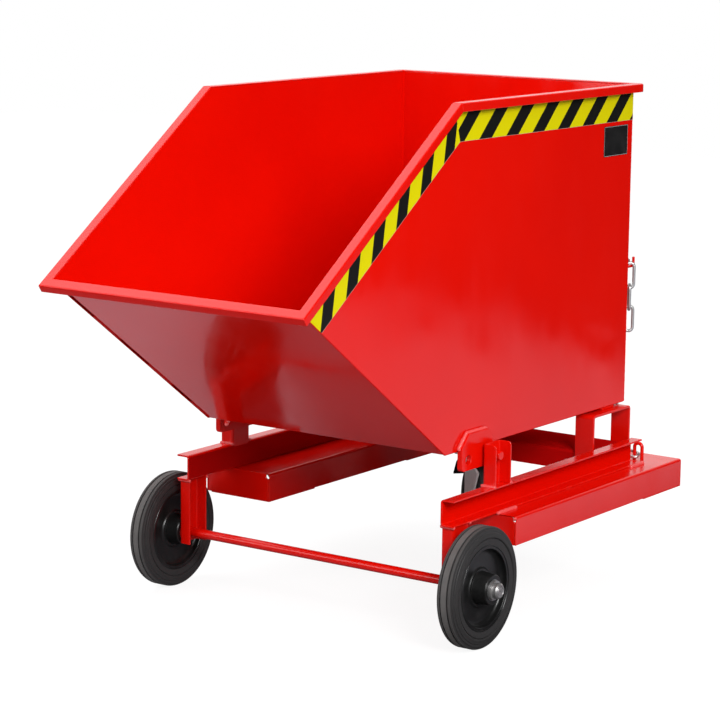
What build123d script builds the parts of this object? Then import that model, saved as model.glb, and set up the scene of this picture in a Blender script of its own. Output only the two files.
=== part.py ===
"""Forward-tipping box trolley: a folded steel box on a wheeled underframe with fork pockets.

Millimetres, +Z up. The box empties over its mouth towards -Y. Right is +X, as seen from the mouth, and is
the side with the hazard tape. The origin lies on the floor, under the middle of the whole trolley.
"""
import os
from math import cos, hypot, radians, sin, sqrt, tan

from build123d import *

os.makedirs("parts", exist_ok=True)

# Box: sheet steel, open above, with a mouth that slopes down to the front lip
BOX_WIDTH = 612.0
BOX_HEIGHT = 708.5
BOX_LENGTH = 724.0
FLOOR_FRONT_Y = -157.3
KNEE_Y = -148.8
FRONT_RISE = 35.7
MOUTH_FALL = 35.2
SHEET = 3.0
SHEET_BEND = 8.0
FRONT_SETBACK = 3.0

# Folded rim round the mouth
RIM_WIDTH = 20.0
RIM_DROP = 18.0
RIM_BEND = 3.0
RIM_CORNER = 18.0
RIM_FOLD = 2.5
RIM_SPARE = 60.0

# Skins on the right side wall
TAPE_WIDTH = 75.0
TAPE_UNDER_TOP = 4.0
TAPE_END_GAP = 1.5
SKIN = 0.4
PLATE_LENGTH = 101.0
PLATE_HEIGHT = 65.0
PLATE_SHEET = 0.8
PLATE_CORNER = 3.0
PLATE_REAR_GAP = 22.5
PLATE_UNDER_TAPE = 8.5

# Tipping pivots
PIVOT_Y = -12.8
PIVOT_RISE = 60.5
PIVOT_PIN_DIAMETER = 20.0
PIVOT_PIN_INSET = 14.0
PIVOT_PIN_PROUD = 20.5
PIVOT_COLLAR_DIAMETER = 32.0
PIVOT_COLLAR_LENGTH = 7.0
PIVOT_SPACER_DIAMETER = 36.0
HINGE_PLATE = 12.0
HINGE_HOLE_SPACING = 76.0
HINGE_PLATE_END = 24.5
HINGE_PLATE_BELOW = 22.0
HINGE_PLATE_ABOVE = 54.0
HINGE_PLATE_CHAMFER = 27.0
HINGE_PLATE_ROUND = 9.0

# Underframe channels: rails, pivot posts and wheel legs
FRAME_BOX_GAP = 18.0
CHANNEL_FLANGE = 31.5
CHANNEL_SHEET = 4.0
CHANNEL_BEND = 7.0
POST_WIDTH = 61.0
POST_HEIGHT = 87.0
POST_FRONT = 33.0
POST_ROUND = 8.0
RAIL_HEIGHT = 55.5
RAIL_FRONT_Y = -198.8
RAIL_REAR_GAP = 3.0
LEG_BELOW_AXLE = 22.0
LEG_FLANGE = 28.0
LEG_TIP_GAP = 2.0
LEG_WIDTH = 58.5
LEG_SETBACK = 5.0
AXLE_SETBACK = 32.0

# Fork pockets under the rails
POCKET_WIDTH = 173.0
POCKET_INSIDE_FRAME = 94.5
POCKET_HEIGHT = 60.5
POCKET_SHEET = 3.0
POCKET_BEND = 6.0
POCKET_OVERHANG = 96.5
POCKET_WHEEL_GAP = 19.0
POCKET_RELIEF = 5.0
FLAP_SIDE_GAP = 1.0
STRAP_LENGTH = 168.0
STRAP_SHEET = 2.0
STRAP_SHORT = 12.0

# Cross member, saddles and pads at the rear
CROSS_DROP = 10.5
CROSS_LENGTH = 150.5
CROSS_HEIGHT = 45.0
MOUNT_PLATE_WIDTH = 180.0
MOUNT_PLATE = 8.0
SADDLE_WIDTH = 46.0
SADDLE_BAR = 6.0
SADDLE_BEND = 10.0
SADDLE_LENGTH = 162.5
SADDLE_HEIGHT = 74.0
SADDLE_FOOT = 7.0
PAD_SHEET = 5.0
PAD_LENGTH = 48.0
PAD_WIDTH = 46.0
PAD_REAR_GAP = 47.5

# Front wheels on stub axles
WHEEL_DIAMETER = 250.0
TYRE_HALF_WIDTH = 22.0
TREAD_HALF_WIDTH = 16.0
TYRE_SHOULDER = 12.0
TYRE_DEPTH = 37.0
SIDEWALL_STEP = 3.0
GROOVE_SPACING = 15.0
GROOVE_WIDTH = 3.0
GROOVE_DEPTH = 2.0
SIDEWALL_STEP_DEPTH = 15.0
RIM_RING = 8.0
RIM_RING_INSET = 3.0
WEB_HALF = 4.0
HUB_HALF_LENGTH = 38.0
HUB_END_DIAMETER = 62.0
HUB_ROOT_DIAMETER = 68.0
HUB_COLLAR_DIAMETER = 80.0
HUB_COLLAR_HALF = 7.0
BEARING_WALL = 6.0
AXLE_DIAMETER = 32.0
AXLE_PROUD = 11.5
AXLE_CHAMFER = 3.0
WASHER_DIAMETER = 41.0
WASHER = 3.0
RING_DIAMETER = 40.0
RING = 2.0
RING_GROOVE = 1.5
RING_MOUTH = 17.0
AXLE_SPACER_DIAMETER = 44.0
AXLE_SPACER_LENGTH = 3.0
TIE_ROD_DIAMETER = 20.0

# Swivelling castor under the cross member, with a tread brake
CASTOR_TURN = 47.0
CASTOR_TRAIL = 55.0
CASTOR_DIAMETER = 200.0
CASTOR_TYRE_HALF = 24.0
CASTOR_TREAD_HALF = 16.0
CASTOR_SHOULDER = 8.0
CASTOR_TYRE_DEPTH = 28.0
CASTOR_RING = 7.0
CASTOR_RING_INSET = 3.0
CASTOR_WEB_HALF = 4.0
CASTOR_HUB_HALF = 27.5
CASTOR_COLLAR_DIAMETER = 46.0
CASTOR_COLLAR_HALF = 11.0
CASTOR_HUB_ROOT_DIAMETER = 42.0
CASTOR_HUB_END_DIAMETER = 38.0
CASTOR_BEARING_WALL = 6.0
CASTOR_BOLT_DIAMETER = 12.0
CASTOR_BOLT_HEX = 19.0
CASTOR_BOLT_HEAD = 8.0
CASTOR_NUT = 10.0
FORK_SHEET = 5.0
FORK_BEND = 8.0
FORK_HUB_GAP = 0.5
FORK_EAR_ROUND = 23.0
FORK_CROWN_GAP = 18.2
CROWN_DIAMETER = 104.0
CROWN_FLARE = 28.0
SKIRT = 5.0
SKIRT_HEIGHT = 12.0
RACE_INNER_DIAMETER = 64.0
RACE_OUTER_DIAMETER = 88.0
LOWER_RACE = 3.0
UPPER_RACE = 5.0
BALL_DIAMETER = 8.0
BALL_COUNT = 12
KING_BOLT_DIAMETER = 16.0
KING_NUT = 10.0
KING_NUT_HEX = 24.0
KING_THREAD_PROUD = 2.0
TOP_PLATE_LENGTH = 140.0
TOP_PLATE_WIDTH = 110.0
TOP_PLATE = 5.5
TOP_PLATE_CORNER = 10.0
TOP_BOLT_SPACING_X = 105.0
TOP_BOLT_SPACING_Y = 80.0
TOP_BOLT_DIAMETER = 10.0
TOP_BOLT_HEX = 17.0
TOP_BOLT_HEAD = 6.4
TOP_NUT = 8.4
BRAKE_PIN_DIAMETER = 8.0
BRAKE_PIN_BEHIND = 7.0
BRAKE_PIN_BELOW = 8.7
BRAKE_PIN_PROUD = 2.0
BRAKE_SLEEVE_DIAMETER = 14.0
PEDAL_SHEET = 4.0
PEDAL_NECK_WIDTH = 60.0
PEDAL_TREAD_WIDTH = 74.0
PEDAL_FORK_GAP = 10.0
PEDAL_NECK = 44.0
PEDAL_DROP = 25.0
PEDAL_REACH = 38.0
PEDAL_TREAD_DROP = 32.0
PEDAL_TREAD_REACH = 26.0
PEDAL_BEND = 12.0
SHOE_WIDTH = 36.0
SHOE_START = 16.0
SHOE_LENGTH = 21.0
SHOE_TYRE_GAP = 4.5

# Safety chain on the rear wall and its staple on the right pocket
CHAIN_WIRE = 7.0
CHAIN_PITCH = 49.0
CHAIN_SLACK = 0.6
CHAIN_OUTER_WIDTH = 25.0
CHAIN_SIDE_GAP = 6.0
CHAIN_STAND_OFF = 18.0
CHAIN_TOP_DROP = 426.5
CHAIN_TURN = 35.0
CHAIN_LEAN = 22.0
CHAIN_SHOULDER = 45.0
CHAIN_SHOULDER_LIFT = 2.2
CHAIN_TAIL_LINKS = 2
CHAIN_LONG_LINKS = 6
HOOK_BAR = 6.0
HOOK_GAP = 0.9
HOOK_REACH = 32.0
HOOK_LIFT = 20.0
HOOK_BEND = 8.0
STAPLE_BAR = 8.0
STAPLE_EYE = 11.0
STAPLE_HEIGHT = 40.5
STAPLE_OUTER_GAP = 61.5
STAPLE_REAR_GAP = 64.5
ANCHOR_PITCH_UP = 9.2
ANCHOR_ROLL = 26.0

# Clearances
RUNNING_FIT = 0.05
FACE_GAP = 0.5
RACE_GAP = 0.3

# Heights of the underframe, from the castor up
castor_radius = CASTOR_DIAMETER / 2
crown_under_z = CASTOR_DIAMETER + FORK_CROWN_GAP
crown_z = crown_under_z + FORK_SHEET
lower_race_z = crown_z + LOWER_RACE
upper_race_z = lower_race_z + BALL_DIAMETER + RACE_GAP
top_plate_z = upper_race_z + UPPER_RACE
castor_top_z = top_plate_z + TOP_PLATE
mount_plate_z = castor_top_z + MOUNT_PLATE
cross_top_z = castor_top_z + CROSS_HEIGHT
rail_top_z = cross_top_z + CROSS_DROP
rail_z = rail_top_z - RAIL_HEIGHT
pocket_z = rail_z - POCKET_HEIGHT
pivot_z = rail_top_z + PIVOT_RISE
saddle_z = rail_top_z + SADDLE_HEIGHT
floor_z = saddle_z + PAD_SHEET
top_z = floor_z + BOX_HEIGHT
axle_y = RAIL_FRONT_Y + AXLE_SETBACK
axle_z = WHEEL_DIAMETER / 2

# Places across and along the trolley, from the box out
wall_x = BOX_WIDTH / 2
frame_x = wall_x + FRAME_BOX_GAP
rail_tip_x = frame_x + CHANNEL_FLANGE
web_x = frame_x + CHANNEL_SHEET
leg_x = rail_tip_x - LEG_TIP_GAP
leg_web_x = leg_x - CHANNEL_SHEET
wheel_x = leg_x + AXLE_SPACER_LENGTH + FACE_GAP + HUB_HALF_LENGTH
pocket_inner_x = frame_x - POCKET_INSIDE_FRAME
pocket_outer_x = pocket_inner_x + POCKET_WIDTH
box_rear_y = FLOOR_FRONT_Y + BOX_LENGTH
rail_rear_y = box_rear_y - RAIL_REAR_GAP
pocket_rear_y = box_rear_y + POCKET_OVERHANG
saddle_front_y = rail_rear_y - SADDLE_LENGTH
cross_front_y = saddle_front_y + SADDLE_BAR
cross_rear_y = cross_front_y + CROSS_LENGTH
castor_y = (cross_front_y + cross_rear_y) / 2


def meet(start, angle, other, other_angle):
    """Crossing of two lines of the side view, each given by a point and its angle in degrees."""
    dy, dz = cos(radians(angle)), sin(radians(angle))
    ey, ez = cos(radians(other_angle)), sin(radians(other_angle))
    run = ((other[0] - start[0]) * ez - (other[1] - start[1]) * ey) / (dy * ez - dz * ey)
    return (start[0] + run * dy, start[1] + run * dz)


def shifted(point, angle, distance):
    """Point moved by a distance to the left of a line at an angle, square to it."""
    return (point[0] - distance * sin(radians(angle)), point[1] + distance * cos(radians(angle)))


def folded_face(points, bend, sheet, side):
    """Face of a sheet that is folded along the points of its outer skin."""
    with BuildLine() as skin:
        FilletPolyline(*points, radius=bend)
        offset(amount=sheet, side=side)
    make_face(skin.edges())


def closed_face(points):
    """Face inside a closed outline of straight edges."""
    with BuildLine() as outline:
        Polyline(*points, close=True)
    make_face(outline.edges())


# Side view of the box: floor, sloping front, mouth and knee
front_angle = 180 - FRONT_RISE
floor_front = (FLOOR_FRONT_Y, floor_z)
knee = (KNEE_Y, top_z)
rim_under = shifted(knee, MOUTH_FALL, -SHEET)
front_skin = shifted(floor_front, front_angle, -FRONT_SETBACK)
front_inside = shifted(front_skin, front_angle, -SHEET)
wall_tip = meet(floor_front, front_angle, rim_under, MOUTH_FALL)
wall_knee = meet(rim_under, MOUTH_FALL, (KNEE_Y, top_z - SHEET), 0)
sheet_foot = meet(front_skin, front_angle, floor_front, 0)
sheet_lip = meet(front_skin, front_angle, shifted(knee, MOUTH_FALL, RIM_WIDTH), MOUTH_FALL)
lip_outer = meet(front_skin, front_angle, knee, MOUTH_FALL)
lip_inner = meet(front_inside, front_angle, knee, MOUTH_FALL)
mouth_inside = hypot(knee[0] - lip_inner[0], knee[1] - lip_inner[1])
mouth_outside = hypot(knee[0] - lip_outer[0], knee[1] - lip_outer[1]) + RIM_WIDTH
rim_outer_width = BOX_WIDTH + 2 * RIM_WIDTH
mouth_width = BOX_WIDTH - 2 * SHEET

# Planes of the mouth, the top and the mitre between them
mitre = Plane(
    origin=(0, *knee),
    x_dir=(1, 0, 0),
    z_dir=(0, 1 + cos(radians(MOUTH_FALL)), sin(radians(MOUTH_FALL))),
)
mouth_plane = Plane(
    origin=(0, *knee),
    x_dir=(1, 0, 0),
    z_dir=(0, -sin(radians(MOUTH_FALL)), cos(radians(MOUTH_FALL))),
)
mouth_axis = Axis(mouth_plane.origin, mouth_plane.z_dir)
top_plane = Plane(origin=(0, *knee))
rim_rear = box_rear_y + RIM_WIDTH - KNEE_Y
rear_inside = box_rear_y - SHEET - KNEE_Y

# Box: side walls
with BuildPart() as side_wall_right:
    with BuildSketch(Plane.YZ.offset(wall_x)) as wall_outline:
        closed_face([(box_rear_y, floor_z), floor_front, wall_tip, wall_knee, (box_rear_y, top_z - SHEET)])
        fillet(wall_outline.vertices().group_by(Axis.Y)[0], SHEET_BEND)
    extrude(amount=-SHEET)

with BuildPart() as side_wall_left:
    mirror(side_wall_right.part, about=Plane.YZ)

# Box: rear wall, floor and front, one folded sheet between the side walls
with BuildPart() as wrap_sheet:
    with BuildSketch(Plane.YZ.offset(-mouth_width / 2)):
        folded_face(
            [(box_rear_y, top_z - SHEET), (box_rear_y, floor_z), sheet_foot, sheet_lip],
            SHEET_BEND, SHEET, Side.RIGHT,
        )
    extrude(amount=mouth_width)
    split(bisect_by=mouth_plane.offset(-SHEET), keep=Keep.BOTTOM)


def inner_edges(face):
    """Edges of a rim's upper face that lie round the mouth."""
    return [
        edge for edge in face.edges()
        if abs(edge.center().X) < wall_x and lip_outer[0] < edge.center().Y < box_rear_y
    ]


# Box: folded rim, mitred at the knees
with BuildPart() as upper_rim:
    with BuildSketch(top_plane) as flange:
        with Locations((0, (rim_rear - RIM_SPARE) / 2)):
            Rectangle(rim_outer_width, rim_rear + RIM_SPARE)
        fillet(flange.vertices().group_by(Axis.Y)[-1], RIM_CORNER)
    extrude(amount=-RIM_DROP)
    fillet(upper_rim.faces().sort_by(Axis.Z)[-1].edges(), RIM_BEND)
    with BuildSketch(top_plane.offset(-SHEET)) as underside:
        with Locations((0, (rim_rear - RIM_SPARE) / 2)):
            Rectangle(rim_outer_width - 2 * SHEET, rim_rear + RIM_SPARE - 2 * SHEET)
        fillet(underside.vertices().group_by(Axis.Y)[-1], RIM_CORNER - SHEET)
    extrude(amount=-RIM_DROP, mode=Mode.SUBTRACT)
    with BuildSketch(top_plane):
        with Locations((0, rear_inside)):
            Rectangle(mouth_width, 2 * rear_inside, align=(Align.CENTER, Align.MAX))
    extrude(amount=-SHEET, mode=Mode.SUBTRACT)
    fillet(inner_edges(upper_rim.faces().sort_by(Axis.Z)[-1]), RIM_FOLD)
    split(bisect_by=mitre, keep=Keep.TOP)

with BuildPart() as slanted_rim:
    with BuildSketch(mouth_plane):
        with Locations((0, -mouth_outside)):
            Rectangle(rim_outer_width, mouth_outside + RIM_SPARE, align=(Align.CENTER, Align.MIN))
    extrude(amount=-RIM_DROP)
    fillet(slanted_rim.faces().sort_by(mouth_axis)[-1].edges(), RIM_BEND)
    with BuildSketch(mouth_plane.offset(-SHEET)):
        with Locations((0, SHEET - mouth_outside)):
            Rectangle(
                rim_outer_width - 2 * SHEET, mouth_outside + RIM_SPARE - 2 * SHEET,
                align=(Align.CENTER, Align.MIN),
            )
    extrude(amount=-RIM_DROP, mode=Mode.SUBTRACT)
    with BuildSketch(mouth_plane):
        with Locations((0, -mouth_inside)):
            Rectangle(mouth_width, 2 * mouth_inside, align=(Align.CENTER, Align.MIN))
    extrude(amount=-SHEET, mode=Mode.SUBTRACT)
    fillet(inner_edges(slanted_rim.faces().sort_by(mouth_axis)[-1]), RIM_FOLD)
    split(bisect_by=mitre, keep=Keep.BOTTOM)

# Box: hazard tape along the top and down the slope, meeting on the knee's mitre
tape_bottom = TAPE_UNDER_TOP + TAPE_WIDTH
mitre_slope = tan(radians(MOUTH_FALL / 2))
tape_end = shifted(floor_front, front_angle, -TAPE_END_GAP)
knee_high = (KNEE_Y + TAPE_UNDER_TOP * mitre_slope, top_z - TAPE_UNDER_TOP)
knee_low = (KNEE_Y + tape_bottom * mitre_slope, top_z - tape_bottom)
tape_rear = box_rear_y - TAPE_END_GAP

with BuildPart() as hazard_tape_top:
    with BuildSketch(Plane.YZ.offset(wall_x)):
        closed_face([knee_high, knee_low, (tape_rear, knee_low[1]), (tape_rear, knee_high[1])])
    extrude(amount=SKIN)

with BuildPart() as hazard_tape_slanted:
    with BuildSketch(Plane.YZ.offset(wall_x)):
        closed_face([
            knee_high,
            knee_low,
            meet(knee_low, MOUTH_FALL, tape_end, front_angle),
            meet(knee_high, MOUTH_FALL, tape_end, front_angle),
        ])
    extrude(amount=SKIN)

# Box: blank type plate
with BuildPart() as type_plate:
    with BuildSketch(Plane.YZ.offset(wall_x)):
        with Locations((box_rear_y - PLATE_REAR_GAP, knee_low[1] - PLATE_UNDER_TAPE)):
            RectangleRounded(PLATE_LENGTH, PLATE_HEIGHT, PLATE_CORNER, align=(Align.MAX, Align.MAX))
    extrude(amount=PLATE_SHEET)

# Box: hinge plates, each with the pivot hole and an open hole in front of it
pin_radius = PIVOT_PIN_DIAMETER / 2
hinge_hole = pin_radius + RUNNING_FIT
hinge_middle_y = PIVOT_Y - HINGE_HOLE_SPACING / 2
hinge_length = HINGE_HOLE_SPACING + 2 * HINGE_PLATE_END
hinge_height = HINGE_PLATE_BELOW + HINGE_PLATE_ABOVE

with BuildPart() as hinge_plate_right:
    with BuildSketch(Plane.YZ.offset(wall_x)) as hinge_outline:
        with Locations((hinge_middle_y, pivot_z - HINGE_PLATE_BELOW)):
            Rectangle(hinge_length, hinge_height, align=(Align.CENTER, Align.MIN))
        chamfer(hinge_outline.vertices().group_by(Axis.Y)[-1], HINGE_PLATE_CHAMFER)
        fillet(hinge_outline.vertices().group_by(Axis.Y)[0], HINGE_PLATE_ROUND)
        with Locations((hinge_middle_y, pivot_z)):
            with GridLocations(HINGE_HOLE_SPACING, 0, 2, 1):
                Circle(hinge_hole, mode=Mode.SUBTRACT)
    extrude(amount=HINGE_PLATE)

with BuildPart() as hinge_plate_left:
    mirror(hinge_plate_right.part, about=Plane.YZ)

# Box: rest pads under the rear of the floor
pad_rear_y = box_rear_y - PAD_REAR_GAP

with BuildPart() as rest_pads:
    with BuildSketch(Plane.XY.offset(saddle_z)):
        with Locations((wall_x, pad_rear_y)):
            Rectangle(PAD_WIDTH, PAD_LENGTH, align=(Align.MAX, Align.MAX))
    extrude(amount=PAD_SHEET)
    mirror(about=Plane.YZ)

# Underframe: rails, with their webs inward
with BuildPart() as rail_right:
    with BuildSketch(Plane.XZ.offset(-RAIL_FRONT_Y)):
        folded_face(
            [(rail_tip_x, rail_z), (frame_x, rail_z), (frame_x, rail_top_z), (rail_tip_x, rail_top_z)],
            CHANNEL_BEND, CHANNEL_SHEET, Side.RIGHT,
        )
    extrude(amount=RAIL_FRONT_Y - rail_rear_y)

with BuildPart() as rail_left:
    mirror(rail_right.part, about=Plane.YZ)

# Space that a rail takes up, which the posts and legs are cut to fit
with BuildPart() as rail_space:
    with BuildSketch(Plane.XZ.offset(-RAIL_FRONT_Y)) as rail_outline:
        with Locations((frame_x, rail_z)):
            Rectangle(CHANNEL_FLANGE, RAIL_HEIGHT, align=(Align.MIN, Align.MIN))
        fillet(rail_outline.vertices().group_by(Axis.X)[0], CHANNEL_BEND)
    extrude(amount=RAIL_FRONT_Y - rail_rear_y)

# Underframe: pivot posts on the rails, with their webs inward
post_front_y = PIVOT_Y - POST_FRONT
post_rear_y = post_front_y + POST_WIDTH

with BuildPart() as pivot_post_right:
    with BuildSketch(Plane.XY.offset(rail_top_z - CHANNEL_BEND)):
        folded_face(
            [(rail_tip_x, post_front_y), (frame_x, post_front_y), (frame_x, post_rear_y),
             (rail_tip_x, post_rear_y)],
            CHANNEL_BEND, CHANNEL_SHEET, Side.RIGHT,
        )
    extrude(amount=POST_HEIGHT + CHANNEL_BEND)
    add(rail_space.part, mode=Mode.SUBTRACT)
    post_top = pivot_post_right.edges().filter_by(Axis.Y).group_by(Axis.Z)[-1]
    fillet(post_top.group_by(Axis.X)[-1], POST_ROUND)
    with BuildSketch(Plane.YZ.offset(frame_x)):
        with Locations((PIVOT_Y, pivot_z)):
            Circle(pin_radius)
    extrude(amount=CHANNEL_SHEET, mode=Mode.SUBTRACT)

with BuildPart() as pivot_post_left:
    mirror(pivot_post_right.part, about=Plane.YZ)

# Underframe: pivot pins with their spacers and collars
hinge_plate_x = wall_x + HINGE_PLATE

with BuildPart() as pivot_pins:
    with BuildSketch(Plane.YZ.offset(wall_x - PIVOT_PIN_INSET)):
        with Locations((PIVOT_Y, pivot_z)):
            Circle(pin_radius)
    extrude(amount=web_x + PIVOT_PIN_PROUD - wall_x + PIVOT_PIN_INSET)
    chamfer(pivot_pins.edges().group_by(Axis.X)[-1], AXLE_CHAMFER / 2)
    mirror(about=Plane.YZ)

with BuildPart() as pivot_spacers:
    with BuildSketch(Plane.YZ.offset(hinge_plate_x + FACE_GAP)):
        with Locations((PIVOT_Y, pivot_z)):
            Circle(PIVOT_SPACER_DIAMETER / 2)
            Circle(pin_radius, mode=Mode.SUBTRACT)
    extrude(amount=frame_x - hinge_plate_x - FACE_GAP)
    mirror(about=Plane.YZ)

with BuildPart() as pivot_collars:
    with BuildSketch(Plane.YZ.offset(wall_x - FACE_GAP)):
        with Locations((PIVOT_Y, pivot_z)):
            Circle(PIVOT_COLLAR_DIAMETER / 2)
            Circle(pin_radius, mode=Mode.SUBTRACT)
    extrude(amount=-PIVOT_COLLAR_LENGTH)
    mirror(about=Plane.YZ)

# Underframe: wheel legs, with their webs outward and the stub axles through them
axle_radius = AXLE_DIAMETER / 2
leg_z = axle_z - LEG_BELOW_AXLE
leg_front_y = RAIL_FRONT_Y + LEG_SETBACK
leg_rear_y = leg_front_y + LEG_WIDTH
leg_inner_x = leg_x - LEG_FLANGE

with BuildPart() as wheel_leg_right:
    with BuildSketch(Plane.XY.offset(leg_z)):
        folded_face(
            [(leg_inner_x, leg_front_y), (leg_x, leg_front_y), (leg_x, leg_rear_y), (leg_inner_x, leg_rear_y)],
            CHANNEL_BEND, CHANNEL_SHEET, Side.LEFT,
        )
    extrude(amount=rail_z + CHANNEL_BEND - leg_z)
    add(rail_space.part, mode=Mode.SUBTRACT)
    with BuildSketch(Plane.YZ.offset(leg_web_x)):
        with Locations((axle_y, axle_z)):
            Circle(axle_radius)
    extrude(amount=CHANNEL_SHEET, mode=Mode.SUBTRACT)

with BuildPart() as wheel_leg_left:
    mirror(wheel_leg_right.part, about=Plane.YZ)

with BuildPart() as tie_rod:
    with BuildSketch(Plane.YZ.offset(-leg_web_x)):
        with Locations((axle_y, axle_z)):
            Circle(TIE_ROD_DIAMETER / 2)
    extrude(amount=2 * leg_web_x)

# Front wheels: plain bore hubs that run on the stub axles
hub_x = wheel_x + HUB_HALF_LENGTH
washer_x = hub_x + FACE_GAP
ring_x = washer_x + WASHER
axle_end_x = ring_x + RING + AXLE_PROUD
wheel_plane = Plane(origin=(wheel_x, axle_y, axle_z), x_dir=(1, 0, 0), z_dir=(0, -1, 0))
wheel_axis = Axis(wheel_plane.origin, wheel_plane.x_dir)
wheel_radius = WHEEL_DIAMETER / 2
tyre_seat = wheel_radius - TYRE_DEPTH
bearing_radius = axle_radius + BEARING_WALL

with BuildPart() as stub_axle_right:
    with BuildSketch(Plane.YZ.offset(leg_web_x)):
        with Locations((axle_y, axle_z)):
            Circle(axle_radius)
    extrude(amount=axle_end_x - leg_web_x)
    chamfer(stub_axle_right.edges().group_by(Axis.X)[-1], AXLE_CHAMFER)
    with BuildSketch(Plane.YZ.offset(ring_x)):
        with Locations((axle_y, axle_z)):
            Circle(axle_radius)
            Circle(axle_radius - RING_GROOVE, mode=Mode.SUBTRACT)
    extrude(amount=RING, mode=Mode.SUBTRACT)

with BuildPart() as stub_axle_left:
    mirror(stub_axle_right.part, about=Plane.YZ)

with BuildPart() as axle_spacers:
    with BuildSketch(Plane.YZ.offset(leg_x)):
        with Locations((axle_y, axle_z)):
            Circle(AXLE_SPACER_DIAMETER / 2)
            Circle(axle_radius, mode=Mode.SUBTRACT)
    extrude(amount=AXLE_SPACER_LENGTH)
    mirror(about=Plane.YZ)

with BuildPart() as axle_washers:
    with BuildSketch(Plane.YZ.offset(washer_x)):
        with Locations((axle_y, axle_z)):
            Circle(WASHER_DIAMETER / 2)
            Circle(axle_radius, mode=Mode.SUBTRACT)
    extrude(amount=WASHER)
    mirror(about=Plane.YZ)

with BuildPart() as axle_retaining_rings:
    with BuildSketch(Plane.YZ.offset(ring_x)):
        with Locations((axle_y, axle_z)):
            Circle(RING_DIAMETER / 2)
            Circle(axle_radius - RING_GROOVE, mode=Mode.SUBTRACT)
            Rectangle(RING_MOUTH, RING_DIAMETER, align=(Align.CENTER, Align.MAX), mode=Mode.SUBTRACT)
    extrude(amount=RING)
    mirror(about=Plane.YZ)


def tyre_face(radius, seat, half_width, tread_half, shoulder):
    """Half section of a solid tyre: flat tread, sloped shoulders and straight sides."""
    closed_face([
        (-half_width, seat), (-half_width, radius - shoulder), (-tread_half, radius),
        (tread_half, radius), (half_width, radius - shoulder), (half_width, seat),
    ])


with BuildPart() as wheel_tyre_right:
    with BuildSketch(wheel_plane) as tyre_section:
        tyre_face(wheel_radius, tyre_seat, TYRE_HALF_WIDTH, TREAD_HALF_WIDTH, TYRE_SHOULDER)
        fillet(tyre_section.vertices().group_by(Axis.Y)[-2:], SIDEWALL_STEP)
        with Locations((TYRE_HALF_WIDTH, tyre_seat), (-TYRE_HALF_WIDTH, tyre_seat)):
            Rectangle(2 * SIDEWALL_STEP, 2 * SIDEWALL_STEP_DEPTH, mode=Mode.SUBTRACT)
        with Locations((0, wheel_radius)):
            with GridLocations(GROOVE_SPACING, 0, 2, 1):
                Rectangle(GROOVE_WIDTH, 2 * GROOVE_DEPTH, mode=Mode.SUBTRACT)
    revolve(axis=wheel_axis)

with BuildPart() as wheel_tyre_left:
    mirror(wheel_tyre_right.part, about=Plane.YZ)


def rim_face(seat, ring, ring_half, web_half, collar, collar_half, root, hub_end, hub_half, bore):
    """Half section of a wheel centre: outer ring, web, collar and tapered hub, left of its middle."""
    closed_face([
        (-hub_half, bore), (-hub_half, hub_end), (-collar_half, root), (-collar_half, collar),
        (-web_half, collar), (-web_half, seat - ring), (-ring_half, seat - ring), (-ring_half, seat),
        (0, seat), (0, bore),
    ])


with BuildPart() as wheel_rim_right:
    with BuildSketch(wheel_plane):
        rim_face(
            tyre_seat, RIM_RING, TYRE_HALF_WIDTH - RIM_RING_INSET, WEB_HALF, HUB_COLLAR_DIAMETER / 2,
            HUB_COLLAR_HALF, HUB_ROOT_DIAMETER / 2, HUB_END_DIAMETER / 2, HUB_HALF_LENGTH, bearing_radius,
        )
        mirror(about=Plane.YZ)
    revolve(axis=wheel_axis)

with BuildPart() as wheel_rim_left:
    mirror(wheel_rim_right.part, about=Plane.YZ)

with BuildPart() as wheel_bearing_right:
    with BuildSketch(wheel_plane):
        with Locations((0, axle_radius + RUNNING_FIT)):
            Rectangle(2 * HUB_HALF_LENGTH, BEARING_WALL - RUNNING_FIT, align=(Align.CENTER, Align.MIN))
    revolve(axis=wheel_axis)

with BuildPart() as wheel_bearing_left:
    mirror(wheel_bearing_right.part, about=Plane.YZ)

# Underframe: fork pockets, open behind and below, with a folded flap in front
pocket_middle_x = (pocket_inner_x + pocket_outer_x) / 2
wheel_chord = sqrt(wheel_radius ** 2 - (axle_z - pocket_z) ** 2)
pocket_front_y = axle_y + wheel_chord + POCKET_WHEEL_GAP
flap_width = POCKET_WIDTH - 2 * (POCKET_SHEET + FLAP_SIDE_GAP)

with BuildPart() as fork_pocket_right:
    with BuildSketch(Plane.XZ.offset(-pocket_front_y)):
        folded_face(
            [(pocket_inner_x, pocket_z), (pocket_inner_x, rail_z), (pocket_outer_x, rail_z),
             (pocket_outer_x, pocket_z)],
            POCKET_BEND, POCKET_SHEET, Side.RIGHT,
        )
    extrude(amount=pocket_front_y - pocket_rear_y)
    with BuildSketch(Plane.XZ.offset(-pocket_front_y)):
        with Locations((pocket_middle_x, pocket_z)):
            Rectangle(flap_width, POCKET_HEIGHT - POCKET_SHEET, align=(Align.CENTER, Align.MIN))
    extrude(amount=-POCKET_SHEET)
    with BuildSketch(Plane.XZ.offset(-pocket_front_y)):
        with Locations((pocket_middle_x, rail_z - POCKET_BEND)):
            with GridLocations(flap_width, 0, 2, 1):
                Circle(POCKET_RELIEF)
    extrude(amount=-POCKET_SHEET, mode=Mode.SUBTRACT)

with BuildPart() as fork_pocket_left:
    mirror(fork_pocket_right.part, about=Plane.YZ)

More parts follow.
